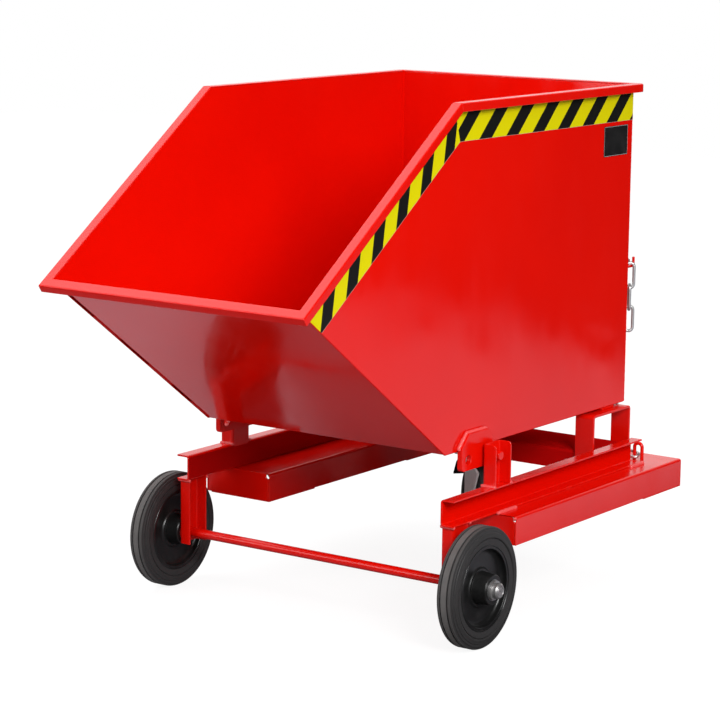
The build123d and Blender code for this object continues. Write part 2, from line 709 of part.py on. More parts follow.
with BuildPart() as pocket_straps:
    with BuildSketch(Plane.XY.offset(pocket_z)):
        with Locations((pocket_inner_x, pocket_front_y)):
            Rectangle(POCKET_WIDTH - STRAP_SHORT, STRAP_LENGTH, align=(Align.MIN, Align.MIN))
        with Locations((pocket_inner_x, pocket_rear_y)):
            Rectangle(POCKET_WIDTH, STRAP_LENGTH, align=(Align.MIN, Align.MAX))
    extrude(amount=-STRAP_SHEET)
    mirror(about=Plane.YZ)

# Underframe: cross member between the rails, with the castor's mounting plate between its flanges
castor_at = (0, castor_y)

with BuildPart() as cross_member:
    with BuildSketch(Plane.YZ.offset(-frame_x)):
        folded_face(
            [(cross_front_y, castor_top_z), (cross_front_y, cross_top_z), (cross_rear_y, cross_top_z),
             (cross_rear_y, castor_top_z)],
            CHANNEL_BEND, CHANNEL_SHEET, Side.RIGHT,
        )
    extrude(amount=2 * frame_x)

with BuildPart() as castor_mount_plate:
    with BuildSketch(Plane.XY.offset(castor_top_z)):
        with Locations(castor_at):
            Rectangle(MOUNT_PLATE_WIDTH, CROSS_LENGTH - 2 * CHANNEL_SHEET)
            with GridLocations(TOP_BOLT_SPACING_X, TOP_BOLT_SPACING_Y, 2, 2):
                Circle(TOP_BOLT_DIAMETER / 2, mode=Mode.SUBTRACT)
    extrude(amount=MOUNT_PLATE)

# Underframe: bent bars inside the rails that straddle the cross member and carry the rear of the box
saddle_foot_z = rail_z + SADDLE_FOOT

with BuildPart() as rear_saddle_right:
    with BuildSketch(Plane.YZ.offset(frame_x)):
        folded_face(
            [(saddle_front_y, saddle_foot_z), (saddle_front_y, saddle_z), (rail_rear_y, saddle_z),
             (rail_rear_y, saddle_foot_z)],
            SADDLE_BEND, SADDLE_BAR, Side.RIGHT,
        )
    extrude(amount=-SADDLE_WIDTH)

with BuildPart() as rear_saddle_left:
    mirror(rear_saddle_right.part, about=Plane.YZ)

# Castor: fixed top plate, race, king bolt and fasteners
with BuildPart() as castor_top_plate:
    with BuildSketch(Plane.XY.offset(top_plate_z)):
        with Locations(castor_at):
            RectangleRounded(TOP_PLATE_LENGTH, TOP_PLATE_WIDTH, TOP_PLATE_CORNER)
            Circle(KING_BOLT_DIAMETER / 2, mode=Mode.SUBTRACT)
            with GridLocations(TOP_BOLT_SPACING_X, TOP_BOLT_SPACING_Y, 2, 2):
                Circle(TOP_BOLT_DIAMETER / 2, mode=Mode.SUBTRACT)
    extrude(amount=TOP_PLATE)

with BuildPart() as castor_upper_race:
    with BuildSketch(Plane.XY.offset(upper_race_z)):
        with Locations(castor_at):
            Circle(RACE_OUTER_DIAMETER / 2)
            Circle(RACE_INNER_DIAMETER / 2, mode=Mode.SUBTRACT)
    extrude(amount=UPPER_RACE)

king_nut_z = crown_under_z - FACE_GAP - KING_NUT

with BuildPart() as castor_king_bolt:
    with BuildSketch(Plane.XY.offset(king_nut_z - KING_THREAD_PROUD)):
        with Locations(castor_at):
            Circle(KING_BOLT_DIAMETER / 2)
    extrude(amount=castor_top_z - king_nut_z + KING_THREAD_PROUD)
    with BuildSketch(Plane.XY.offset(upper_race_z)):
        with Locations(castor_at):
            Circle(RACE_INNER_DIAMETER / 2)
    extrude(amount=UPPER_RACE)

with BuildPart() as castor_king_nut:
    with BuildSketch(Plane.XY.offset(king_nut_z)):
        with Locations(castor_at):
            RegularPolygon(KING_NUT_HEX / 2, 6, major_radius=False)
            Circle(KING_BOLT_DIAMETER / 2, mode=Mode.SUBTRACT)
    extrude(amount=KING_NUT)

with BuildPart() as castor_bolts:
    with BuildSketch(Plane.XY.offset(top_plate_z)):
        with Locations(castor_at):
            with GridLocations(TOP_BOLT_SPACING_X, TOP_BOLT_SPACING_Y, 2, 2):
                RegularPolygon(TOP_BOLT_HEX / 2, 6, major_radius=False)
    extrude(amount=-TOP_BOLT_HEAD)
    with BuildSketch(Plane.XY.offset(top_plate_z)):
        with Locations(castor_at):
            with GridLocations(TOP_BOLT_SPACING_X, TOP_BOLT_SPACING_Y, 2, 2):
                Circle(TOP_BOLT_DIAMETER / 2)
    extrude(amount=TOP_PLATE + MOUNT_PLATE + TOP_NUT + KING_THREAD_PROUD)

with BuildPart() as castor_nuts:
    with BuildSketch(Plane.XY.offset(mount_plate_z)):
        with Locations(castor_at):
            with GridLocations(TOP_BOLT_SPACING_X, TOP_BOLT_SPACING_Y, 2, 2):
                RegularPolygon(TOP_BOLT_HEX / 2, 6, major_radius=False)
                Circle(TOP_BOLT_DIAMETER / 2, mode=Mode.SUBTRACT)
    extrude(amount=TOP_NUT)

# Castor: swivelled fork, drawn across (along the axle) and along (down the trail)
axle_way = (cos(radians(CASTOR_TURN)), sin(radians(CASTOR_TURN)), 0)
trail_way = (-sin(radians(CASTOR_TURN)), cos(radians(CASTOR_TURN)), 0)
front_way = (sin(radians(CASTOR_TURN)), -cos(radians(CASTOR_TURN)), 0)
across = Plane(origin=(0, castor_y, 0), x_dir=axle_way, z_dir=front_way)
along = Plane(origin=(0, castor_y, 0), x_dir=trail_way, z_dir=axle_way)
above = Plane(origin=(0, castor_y, 0), x_dir=trail_way, z_dir=(0, 0, 1))
fork_inner = CASTOR_HUB_HALF + FORK_HUB_GAP
fork_outer = fork_inner + FORK_SHEET
crown_radius = CROWN_DIAMETER / 2
castor_axle = (CASTOR_TRAIL, castor_radius)
bolt_radius = CASTOR_BOLT_DIAMETER / 2
fork_rear = CASTOR_TRAIL + FORK_EAR_ROUND
fork_front = CASTOR_TRAIL - FORK_EAR_ROUND
flare_z = crown_z - CROWN_FLARE
brake_pin_at = (CASTOR_TRAIL + BRAKE_PIN_BEHIND, crown_under_z - BRAKE_PIN_BELOW)
brake_pin_radius = BRAKE_PIN_DIAMETER / 2

with BuildPart() as castor_fork:
    with BuildSketch(across.offset(-fork_rear)):
        folded_face(
            [(-fork_outer, castor_radius - FORK_EAR_ROUND), (-fork_outer, flare_z), (-crown_radius, crown_z),
             (crown_radius, crown_z), (fork_outer, flare_z), (fork_outer, castor_radius - FORK_EAR_ROUND)],
            FORK_BEND, FORK_SHEET, Side.RIGHT,
        )
    extrude(amount=fork_rear + crown_radius)
    with BuildSketch(along.offset(-crown_radius)):
        closed_face([
            (-crown_radius, crown_z), (-crown_radius, crown_under_z - FORK_SHEET), (fork_front, castor_radius),
            (fork_rear, castor_radius), (fork_rear, crown_z),
        ])
        with Locations(castor_axle):
            Circle(FORK_EAR_ROUND)
    extrude(amount=CROWN_DIAMETER, mode=Mode.INTERSECT)
    with BuildSketch(above):
        Circle(crown_radius)
        Rectangle(fork_rear, 2 * (fork_outer + FORK_SHEET), align=(Align.MIN, Align.CENTER))
    extrude(amount=crown_z, mode=Mode.INTERSECT)
    with BuildSketch(above.offset(crown_z)):
        Circle(crown_radius)
        Circle(crown_radius - SKIRT, mode=Mode.SUBTRACT)
    extrude(amount=SKIRT_HEIGHT)
    with BuildSketch(above.offset(crown_under_z)):
        Circle(KING_BOLT_DIAMETER / 2 + RUNNING_FIT)
    extrude(amount=FORK_SHEET, mode=Mode.SUBTRACT)
    with BuildSketch(along.offset(-crown_radius)):
        with Locations(castor_axle):
            Circle(bolt_radius)
        with Locations(brake_pin_at):
            Circle(brake_pin_radius)
    extrude(amount=CROWN_DIAMETER, mode=Mode.SUBTRACT)

with BuildPart() as castor_lower_race:
    with BuildSketch(above.offset(crown_z)):
        Circle(RACE_OUTER_DIAMETER / 2)
        Circle(RACE_INNER_DIAMETER / 2, mode=Mode.SUBTRACT)
    extrude(amount=LOWER_RACE)

with BuildPart() as castor_balls:
    with Locations((0, castor_y, lower_race_z + BALL_DIAMETER / 2)):
        with PolarLocations((RACE_OUTER_DIAMETER + RACE_INNER_DIAMETER) / 4, BALL_COUNT):
            Sphere(BALL_DIAMETER / 2)

# Castor: axle bolt and nut through the fork and the hub
with BuildPart() as castor_axle_bolt:
    with BuildSketch(along.offset(-fork_outer)):
        with Locations(castor_axle):
            Circle(bolt_radius)
    extrude(amount=2 * fork_outer + CASTOR_NUT + KING_THREAD_PROUD)
    with BuildSketch(along.offset(-fork_outer)):
        with Locations(castor_axle):
            RegularPolygon(CASTOR_BOLT_HEX / 2, 6, major_radius=False)
    extrude(amount=-CASTOR_BOLT_HEAD)

with BuildPart() as castor_axle_nut:
    with BuildSketch(along.offset(fork_outer)):
        with Locations(castor_axle):
            RegularPolygon(CASTOR_BOLT_HEX / 2, 6, major_radius=False)
            Circle(bolt_radius, mode=Mode.SUBTRACT)
    extrude(amount=CASTOR_NUT)

# Castor: wheel
castor_centre = along.from_local_coords((*castor_axle, 0))
castor_plane = Plane(origin=castor_centre, x_dir=axle_way, z_dir=front_way)
castor_axis = Axis(castor_centre, axle_way)
castor_seat = castor_radius - CASTOR_TYRE_DEPTH
castor_bore = bolt_radius + CASTOR_BEARING_WALL

with BuildPart() as castor_tyre:
    with BuildSketch(castor_plane):
        tyre_face(castor_radius, castor_seat, CASTOR_TYRE_HALF, CASTOR_TREAD_HALF, CASTOR_SHOULDER)
    revolve(axis=castor_axis)

with BuildPart() as castor_rim:
    with BuildSketch(castor_plane):
        rim_face(
            castor_seat, CASTOR_RING, CASTOR_TYRE_HALF - CASTOR_RING_INSET, CASTOR_WEB_HALF,
            CASTOR_COLLAR_DIAMETER / 2, CASTOR_COLLAR_HALF, CASTOR_HUB_ROOT_DIAMETER / 2,
            CASTOR_HUB_END_DIAMETER / 2, CASTOR_HUB_HALF, castor_bore,
        )
        mirror(about=Plane.YZ)
    revolve(axis=castor_axis)

with BuildPart() as castor_bearing:
    with BuildSketch(castor_plane):
        with Locations((0, bolt_radius + RUNNING_FIT)):
            Rectangle(2 * CASTOR_HUB_HALF, CASTOR_BEARING_WALL - RUNNING_FIT, align=(Align.CENTER, Align.MIN))
    revolve(axis=castor_axis)

# Castor: tread brake on its pin
crown_half = fork_outer + FORK_SHEET
pin_half = crown_half + BRAKE_PIN_PROUD
pedal_half = PEDAL_TREAD_WIDTH / 2
neck_end = fork_rear + PEDAL_FORK_GAP
pedal_start = (brake_pin_at[0], brake_pin_at[1] - PEDAL_SHEET / 2)
pedal_neck = (pedal_start[0] + PEDAL_NECK, pedal_start[1] - PEDAL_SHEET / 2)
pedal_knee = (pedal_neck[0] + PEDAL_REACH, pedal_neck[1] - PEDAL_DROP)
pedal_tip = (pedal_knee[0] + PEDAL_TREAD_REACH, pedal_knee[1] - PEDAL_TREAD_DROP)

with BuildPart() as brake_pin:
    with BuildSketch(along.offset(-pin_half)):
        with Locations(brake_pin_at):
            Circle(brake_pin_radius)
    extrude(amount=2 * pin_half)

with BuildPart() as brake_pedal:
    with BuildSketch(along.offset(-pedal_half)):
        folded_face([pedal_start, pedal_neck, pedal_knee, pedal_tip], PEDAL_BEND, PEDAL_SHEET, Side.LEFT)
        with Locations(brake_pin_at):
            Circle(BRAKE_SLEEVE_DIAMETER / 2)
            Circle(brake_pin_radius + RUNNING_FIT, mode=Mode.SUBTRACT)
    extrude(amount=PEDAL_TREAD_WIDTH)
    with BuildSketch(above):
        Rectangle(2 * neck_end, PEDAL_NECK_WIDTH + 2 * PEDAL_TREAD_WIDTH)
        Rectangle(2 * neck_end, PEDAL_NECK_WIDTH, mode=Mode.SUBTRACT)
    extrude(amount=crown_z, mode=Mode.SUBTRACT)

shoe_near = brake_pin_at[0] + SHOE_START
shoe_far = shoe_near + SHOE_LENGTH
shoe_radius = castor_radius + SHOE_TYRE_GAP


def pedal_under(trail):
    """Height of the pedal's underside over a place on the neck."""
    share = (trail - pedal_start[0]) / PEDAL_NECK
    return pedal_start[1] + share * (pedal_neck[1] - pedal_start[1])


def over_tyre(trail):
    """Height of a circle round the castor's axle that clears the tyre."""
    return castor_radius + sqrt(shoe_radius ** 2 - (trail - CASTOR_TRAIL) ** 2)


with BuildPart() as brake_shoe:
    with BuildSketch(along.offset(-SHOE_WIDTH / 2)):
        closed_face([
            (shoe_near, pedal_under(shoe_near)), (shoe_near, over_tyre(shoe_near)),
            (shoe_far, over_tyre(shoe_far)), (shoe_far, pedal_under(shoe_far)),
        ])
    extrude(amount=SHOE_WIDTH)

# Chain: one link, drawn flat with its length along Y
wire_radius = CHAIN_WIRE / 2
link_step = CHAIN_PITCH - CHAIN_SLACK
link_over = CHAIN_WIRE + CHAIN_SLACK
link_bend = (CHAIN_OUTER_WIDTH - CHAIN_WIRE) / 2
link_end = CHAIN_PITCH / 2 + wire_radius
link_straight = link_end - link_bend

with BuildPart() as link:
    with BuildLine() as ring:
        Line((link_bend, -link_straight), (link_bend, link_straight))
        RadiusArc((link_bend, link_straight), (-link_bend, link_straight), -link_bend)
        Line((-link_bend, link_straight), (-link_bend, -link_straight))
        RadiusArc((-link_bend, -link_straight), (link_bend, -link_straight), -link_bend)
    with BuildSketch(Plane(origin=ring.line @ 0, z_dir=ring.line % 0)):
        Circle(wire_radius)
    sweep(path=ring.line)


def hanging(x, y, z, turn):
    """Plane of a link that hangs upright, turned about the vertical."""
    way = (cos(radians(turn)), sin(radians(turn)), 0)
    return Plane(origin=(x, y, z), x_dir=way, z_dir=(way[1], -way[0], 0))


# Chain: hung by one link over the hook, with a short tail on one side and the long run on the other
chain_x = wall_x - CHAIN_SIDE_GAP
chain_y = box_rear_y + CHAIN_STAND_OFF
tail_z = top_z - CHAIN_TOP_DROP
shoulder_out = link_bend * sin(radians(CHAIN_SHOULDER))
shoulder_up = link_bend * cos(radians(CHAIN_SHOULDER)) + CHAIN_SHOULDER_LIFT
shoulder_x = chain_x - shoulder_out * cos(radians(CHAIN_TURN))
shoulder_y = chain_y - shoulder_out * sin(radians(CHAIN_TURN))
shoulder_z = tail_z + link_straight + shoulder_up + link_over
lean = radians(CHAIN_LEAN)
lean_x = shoulder_x - link_end * sin(lean)
lean_z = shoulder_z - link_end * cos(lean)
long_x = shoulder_x - 2 * link_end * sin(lean)
long_z = shoulder_z - 2 * link_end * cos(lean) + link_over - link_end
tail = [
    hanging(chain_x, chain_y, tail_z - step * link_step, CHAIN_TURN + 90 * step)
    for step in range(CHAIN_TAIL_LINKS + 1)
]
leaning = Plane(origin=(lean_x, shoulder_y, lean_z), x_dir=(0, 1, 0), z_dir=(cos(lean), 0, -sin(lean)))
long_run = [
    hanging(long_x, shoulder_y, long_z - step * link_step, 90 * step)
    for step in range(CHAIN_LONG_LINKS)
]

with BuildPart() as safety_chain:
    with Locations(*tail, leaning, *long_run):
        add(link.part)

hook_z = tail_z + CHAIN_PITCH / 2 - HOOK_BAR / 2 - HOOK_GAP

with BuildPart() as chain_hook:
    with BuildLine() as hook_path:
        FilletPolyline(
            (chain_x, box_rear_y, hook_z), (chain_x, box_rear_y + HOOK_REACH, hook_z),
            (chain_x, box_rear_y + HOOK_REACH, hook_z + HOOK_LIFT), radius=HOOK_BEND,
        )
    with BuildSketch(Plane(origin=hook_path.line @ 0, z_dir=hook_path.line % 0)):
        Circle(HOOK_BAR / 2)
    sweep(path=hook_path.line)

# Chain: staple on the right pocket, with the two anchor links that stay in it
staple_y = pocket_rear_y - STAPLE_REAR_GAP
staple_outer_x = pocket_outer_x - STAPLE_OUTER_GAP - STAPLE_BAR / 2
staple_inner_x = staple_outer_x - STAPLE_EYE - STAPLE_BAR
staple_z = rail_z + STAPLE_HEIGHT - STAPLE_BAR / 2

with BuildPart() as chain_staple:
    with BuildLine() as staple_path:
        FilletPolyline(
            (staple_inner_x, staple_y, rail_z), (staple_inner_x, staple_y, staple_z),
            (staple_outer_x, staple_y, staple_z), (staple_outer_x, staple_y, rail_z),
            radius=(STAPLE_BAR + STAPLE_EYE) / 2 - RUNNING_FIT,
        )
    with BuildSketch(Plane(origin=staple_path.line @ 0, z_dir=staple_path.line % 0)):
        Circle(STAPLE_BAR / 2)
    sweep(path=staple_path.line)

pitch_up = radians(ANCHOR_PITCH_UP)
roll = radians(ANCHOR_ROLL)
anchor_end_x = staple_inner_x + STAPLE_BAR / 2 + wire_radius + 2 * FACE_GAP
anchor_end_z = rail_z + wire_radius + FACE_GAP + link_bend * sin(roll)
anchor_x = anchor_end_x - link_end * cos(pitch_up)
anchor_z = anchor_end_z + link_end * sin(pitch_up)
upright_x = anchor_end_x - 2 * link_end * cos(pitch_up) + link_over - link_end
upright_z = anchor_end_z + 2 * link_end * sin(pitch_up)
lying = Plane(
    origin=(anchor_x, staple_y, anchor_z),
    x_dir=(sin(pitch_up) * sin(roll), cos(roll), cos(pitch_up) * sin(roll)),
    z_dir=(sin(pitch_up) * cos(roll), -sin(roll), cos(pitch_up) * cos(roll)),
)
upright = Plane(
    origin=(upright_x, staple_y, upright_z),
    x_dir=(0, -sin(roll), cos(roll)),
    z_dir=(0, cos(roll), sin(roll)),
)

with BuildPart() as anchor_chain:
    with Locations(lying, upright):
        add(link.part)

pieces = {
    "side_wall_left": side_wall_left, "side_wall_right": side_wall_right, "wrap_sheet": wrap_sheet,
    "upper_rim": upper_rim, "slanted_rim": slanted_rim, "hazard_tape_top": hazard_tape_top,
    "hazard_tape_slanted": hazard_tape_slanted, "type_plate": type_plate,
    "hinge_plate_left": hinge_plate_left, "hinge_plate_right": hinge_plate_right, "rest_pads": rest_pads,
    "chain_hook": chain_hook, "rail_left": rail_left, "rail_right": rail_right,
    "pivot_post_left": pivot_post_left, "pivot_post_right": pivot_post_right, "pivot_pins": pivot_pins,
    "pivot_spacers": pivot_spacers, "pivot_collars": pivot_collars, "wheel_leg_left": wheel_leg_left,
    "wheel_leg_right": wheel_leg_right, "tie_rod": tie_rod, "stub_axle_left": stub_axle_left,
    "stub_axle_right": stub_axle_right, "axle_spacers": axle_spacers, "axle_washers": axle_washers,
    "axle_retaining_rings": axle_retaining_rings, "wheel_tyre_left": wheel_tyre_left,
    "wheel_tyre_right": wheel_tyre_right, "wheel_rim_left": wheel_rim_left,
    "wheel_rim_right": wheel_rim_right, "wheel_bearing_left": wheel_bearing_left,
    "wheel_bearing_right": wheel_bearing_right, "fork_pocket_left": fork_pocket_left,
    "fork_pocket_right": fork_pocket_right, "pocket_straps": pocket_straps, "cross_member": cross_member,
    "castor_mount_plate": castor_mount_plate, "rear_saddle_left": rear_saddle_left,
    "rear_saddle_right": rear_saddle_right, "castor_top_plate": castor_top_plate,
    "castor_upper_race": castor_upper_race, "castor_king_bolt": castor_king_bolt,
    "castor_king_nut": castor_king_nut, "castor_bolts": castor_bolts, "castor_nuts": castor_nuts,
    "castor_fork": castor_fork, "castor_lower_race": castor_lower_race, "castor_balls": castor_balls,
    "castor_axle_bolt": castor_axle_bolt, "castor_axle_nut": castor_axle_nut, "castor_tyre": castor_tyre,
    "castor_rim": castor_rim, "castor_bearing": castor_bearing, "brake_pin": brake_pin,
    "brake_pedal": brake_pedal, "brake_shoe": brake_shoe, "safety_chain": safety_chain,
    "chain_staple": chain_staple, "anchor_chain": anchor_chain,
}
for name, piece in pieces.items():
    piece.part.label = name
    export_step(piece.part, f"parts/{name}.step")
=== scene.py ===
"""Looks of the forward-tipping box trolley: a red folded-steel box on a wheeled underframe.

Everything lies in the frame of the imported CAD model, in metres. The trolley's own sizes are written in
millimetres and become metres where a mesh or a pattern is made from them. The studio's are in metres.
"""

import logging
import math
from dataclasses import dataclass
from enum import Enum
from typing import Sequence

import bmesh
import bpy
from mathutils import Euler, Matrix, Vector


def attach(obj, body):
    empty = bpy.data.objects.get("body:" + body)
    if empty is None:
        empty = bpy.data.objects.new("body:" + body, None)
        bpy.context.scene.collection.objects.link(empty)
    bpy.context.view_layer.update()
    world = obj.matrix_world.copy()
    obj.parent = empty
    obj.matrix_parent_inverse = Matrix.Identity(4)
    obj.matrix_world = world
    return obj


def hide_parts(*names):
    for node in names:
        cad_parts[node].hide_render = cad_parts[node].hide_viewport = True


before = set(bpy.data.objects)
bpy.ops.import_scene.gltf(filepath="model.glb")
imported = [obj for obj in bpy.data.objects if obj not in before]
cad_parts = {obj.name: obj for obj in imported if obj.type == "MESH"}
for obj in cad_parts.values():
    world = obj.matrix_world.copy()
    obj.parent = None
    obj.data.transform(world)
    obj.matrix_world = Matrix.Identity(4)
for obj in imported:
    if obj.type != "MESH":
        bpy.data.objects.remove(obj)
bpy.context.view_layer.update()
log = logging.getLogger("box_trolley")

MM = 0.001

# Place of the front axle in millimetres.
AXLE_Y = -166.8
AXLE_Z = 125.0

# How near to a plane, in millimetres, a face or an edge counts as lying on it.
CLOSE = 1.0

# Blender's own name for the share of the rounding that an edge gets.
BEVEL_WEIGHT = "bevel_weight_edge"

Span = tuple[float, float]
Section = tuple[Span, ...]
Point = tuple[float, float, float]
Colour = tuple[float, float, float, float]


class Body(Enum):
    """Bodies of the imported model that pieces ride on."""

    FRAME = "frame"
    BOX = "box"
    WHEEL_LEFT = "wheel_left"
    WHEEL_RIGHT = "wheel_right"
    CASTOR = "castor"
    CASTOR_WHEEL = "castor_wheel"
    BRAKE = "brake"
    HUNG_CHAIN = "hung_chain"
    ANCHOR_LINKS = "anchor_links"


class Slot(Enum):
    """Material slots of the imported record."""

    RED_PAINT = "red_paint"
    GALVANISED = "galvanised"
    SOLID_RUBBER = "solid_rubber"
    WHEEL_CENTRE = "wheel_centre"
    HAZARD_TAPE = "hazard_tape"
    TYPE_PLATE = "type_plate"
    BRAKE_PAINT = "brake_paint"


class Side(Enum):
    """Sides of the trolley, as the sign of X."""

    LEFT = -1
    RIGHT = 1

    @property
    def word(self) -> str:
        """The side's name in node names."""
        return self.name.lower()


class Canvas:
    """A node tree with one short way to add any node."""

    def __init__(self, tree: bpy.types.NodeTree) -> None:
        """Keeps the tree that nodes are added to."""
        self.tree = tree

    def node(self, kind: str, settings: dict | None = None, inputs: dict | None = None) -> bpy.types.Node:
        """Adds a node.

        Args:
            kind: Blender's name for the node's type.
            settings: The node's own settings, set before its sockets.
            inputs: Values or links for its sockets, by socket name or number.

        Returns:
            The new node.
        """
        node = self.tree.nodes.new(kind)
        for key, value in (settings or {}).items():
            setattr(node, key, value)
        for key, value in (inputs or {}).items():
            self.feed(node.inputs[key], value)
        return node

    def result(
        self, kind: str, settings: dict | None = None, inputs: dict | None = None, output: int | str = 0
    ) -> bpy.types.NodeSocket:
        """Adds a node and gives one of its outputs, by number or name."""
        return self.node(kind, settings, inputs).outputs[output]

    def feed(self, socket: bpy.types.NodeSocket, value: object) -> None:
        """Links a socket to a signal or another socket, or sets its value."""
        if isinstance(value, Signal):
            self.tree.links.new(value.socket, socket)
        elif isinstance(value, bpy.types.NodeSocket):
            self.tree.links.new(value, socket)
        else:
            socket.default_value = value


class Signal:
    """A shader socket that takes part in Python arithmetic, one Math node for each step."""

    def __init__(self, graph: "Graph", socket: bpy.types.NodeSocket) -> None:
        """Keeps the socket and the graph that it belongs to."""
        self.graph = graph
        self.socket = socket

    def __add__(self, other: "Signal | float") -> "Signal":
        """Sum."""
        return self.graph.math("ADD", self, other)

    def __radd__(self, other: float) -> "Signal":
        """Sum with a number in front."""
        return self.graph.math("ADD", other, self)

    def __sub__(self, other: "Signal | float") -> "Signal":
        """Difference."""
        return self.graph.math("SUBTRACT", self, other)

    def __rsub__(self, other: float) -> "Signal":
        """Difference from a number in front."""
        return self.graph.math("SUBTRACT", other, self)

    def __mul__(self, other: "Signal | float") -> "Signal":
        """Product."""
        return self.graph.math("MULTIPLY", self, other)

    def __rmul__(self, other: float) -> "Signal":
        """Product with a number in front."""
        return self.graph.math("MULTIPLY", other, self)

    def __abs__(self) -> "Signal":
        """Size without its sign."""
        return self.graph.math("ABSOLUTE", self)

    def fade(self, low: float, high: float) -> "Signal":
        """Smooth step from 0 at low to 1 at high."""
        return self.graph.signal(
            "ShaderNodeMapRange", {"interpolation_type": "SMOOTHSTEP"},
            {"Value": self, "From Min": low, "From Max": high},
        )


class Graph(Canvas):
    """The node tree of one material or of the world."""

    def __init__(self, owner: bpy.types.Material | bpy.types.World) -> None:
        """Empties the tree of a new material or world."""
        self.owner = owner
        owner.use_nodes = True
        super().__init__(owner.node_tree)
        self.tree.nodes.clear()

    def signal(
        self, kind: str, settings: dict | None = None, inputs: dict | None = None, output: int | str = 0
    ) -> Signal:
        """Adds a node and gives one of its outputs as a signal."""
        return Signal(self, self.result(kind, settings, inputs, output))

    def math(self, operation: str, *values: "Signal | float") -> Signal:
        """One Math node's result."""
        return self.signal("ShaderNodeMath", {"operation": operation}, dict(enumerate(values)))

    def place(self, centre: Point = (0.0, 0.0, 0.0), turn: Point = (0.0, 0.0, 0.0)) -> Signal:
        """Object coordinates in metres.

        Args:
            centre: The point that becomes the pattern's origin.
            turn: Turn of the pattern about X, Y and Z in radians.

        Returns:
            The coordinates as a vector signal.
        """
        coordinates = self.result("ShaderNodeTexCoord", output="Object")
        return self.signal(
            "ShaderNodeMapping", {"vector_type": "TEXTURE"},
            {"Vector": coordinates, "Location": centre, "Rotation": turn},
        )

    def stretch(self, where: Signal, by: Point) -> Signal:
        """Vector signal scaled on each axis."""
        return self.signal("ShaderNodeVectorMath", {"operation": "MULTIPLY"}, {0: where, 1: by})

    def along(self, where: Signal, way: Point) -> Signal:
        """How far a vector signal reaches along a direction."""
        return self.signal("ShaderNodeVectorMath", {"operation": "DOT_PRODUCT"}, {0: where, 1: way}, "Value")

    def length(self, where: Signal) -> Signal:
        """Length of a vector signal."""
        return self.signal("ShaderNodeVectorMath", {"operation": "LENGTH"}, {0: where}, "Value")

    def noise(self, where: Signal, scale: float, detail: float = 3.0, roughness: float = 0.5) -> Signal:
        """Cloudy noise from 0 to 1 with that many features in a metre."""
        sizes = {"Scale": scale, "Detail": detail, "Roughness": roughness}
        return self.signal("ShaderNodeTexNoise", {}, {"Vector": where, **sizes})

    def cells(self, where: Signal, scale: float) -> Signal:
        """A random level for each cell of a Voronoi pattern."""
        colours = self.result("ShaderNodeTexVoronoi", {}, {"Vector": where, "Scale": scale}, "Color")
        return self.signal("ShaderNodeRGBToBW", {}, {0: colours})

    def mix(self, amount: Signal, first: "Signal | Colour", second: "Signal | Colour") -> Signal:
        """Colour that goes from first to second as the amount goes from 0 to 1."""
        return self.signal("ShaderNodeMix", {"data_type": "RGBA"}, {0: amount, 6: first, 7: second}, 2)

    def bump(self, height: Signal, depth: float, strength: float = 1.0) -> Signal:
        """Surface normal of a height signal.

        Args:
            height: Height from 0 to 1.
            depth: Height of 1 in metres.
            strength: Share of the bump that shows.

        Returns:
            The normal as a vector signal.
        """
        sizes = {"Distance": depth, "Strength": strength}
        return self.signal("ShaderNodeBump", {}, {"Height": height, **sizes})

    def finish(self, **sockets: object) -> bpy.types.Material:
        """Ends the tree in one Principled shader.

        Args:
            **sockets: Values or signals for its sockets, with underscores for spaces in their names.

        Returns:
            The finished material.
        """
        named = {key.replace("_", " "): value for key, value in sockets.items()}
        shader = self.result("ShaderNodeBsdfPrincipled", {}, named)
        self.node("ShaderNodeOutputMaterial", {}, {"Surface": shader})
        return self.owner


@dataclass(frozen=True)
class Finish:
    """What every finish has: its name and the record's slot that it belongs to."""

    name: str
    slot: Slot

    def material(self) -> bpy.types.Material:
        """The finish's material, drawn on first use."""
        return bpy.data.materials.get(self.name) or self.draw(Graph(bpy.data.materials.new(self.name)))

    def draw(self, graph: Graph) -> bpy.types.Material:
        """Fills the graph and returns its material."""
        raise NotImplementedError


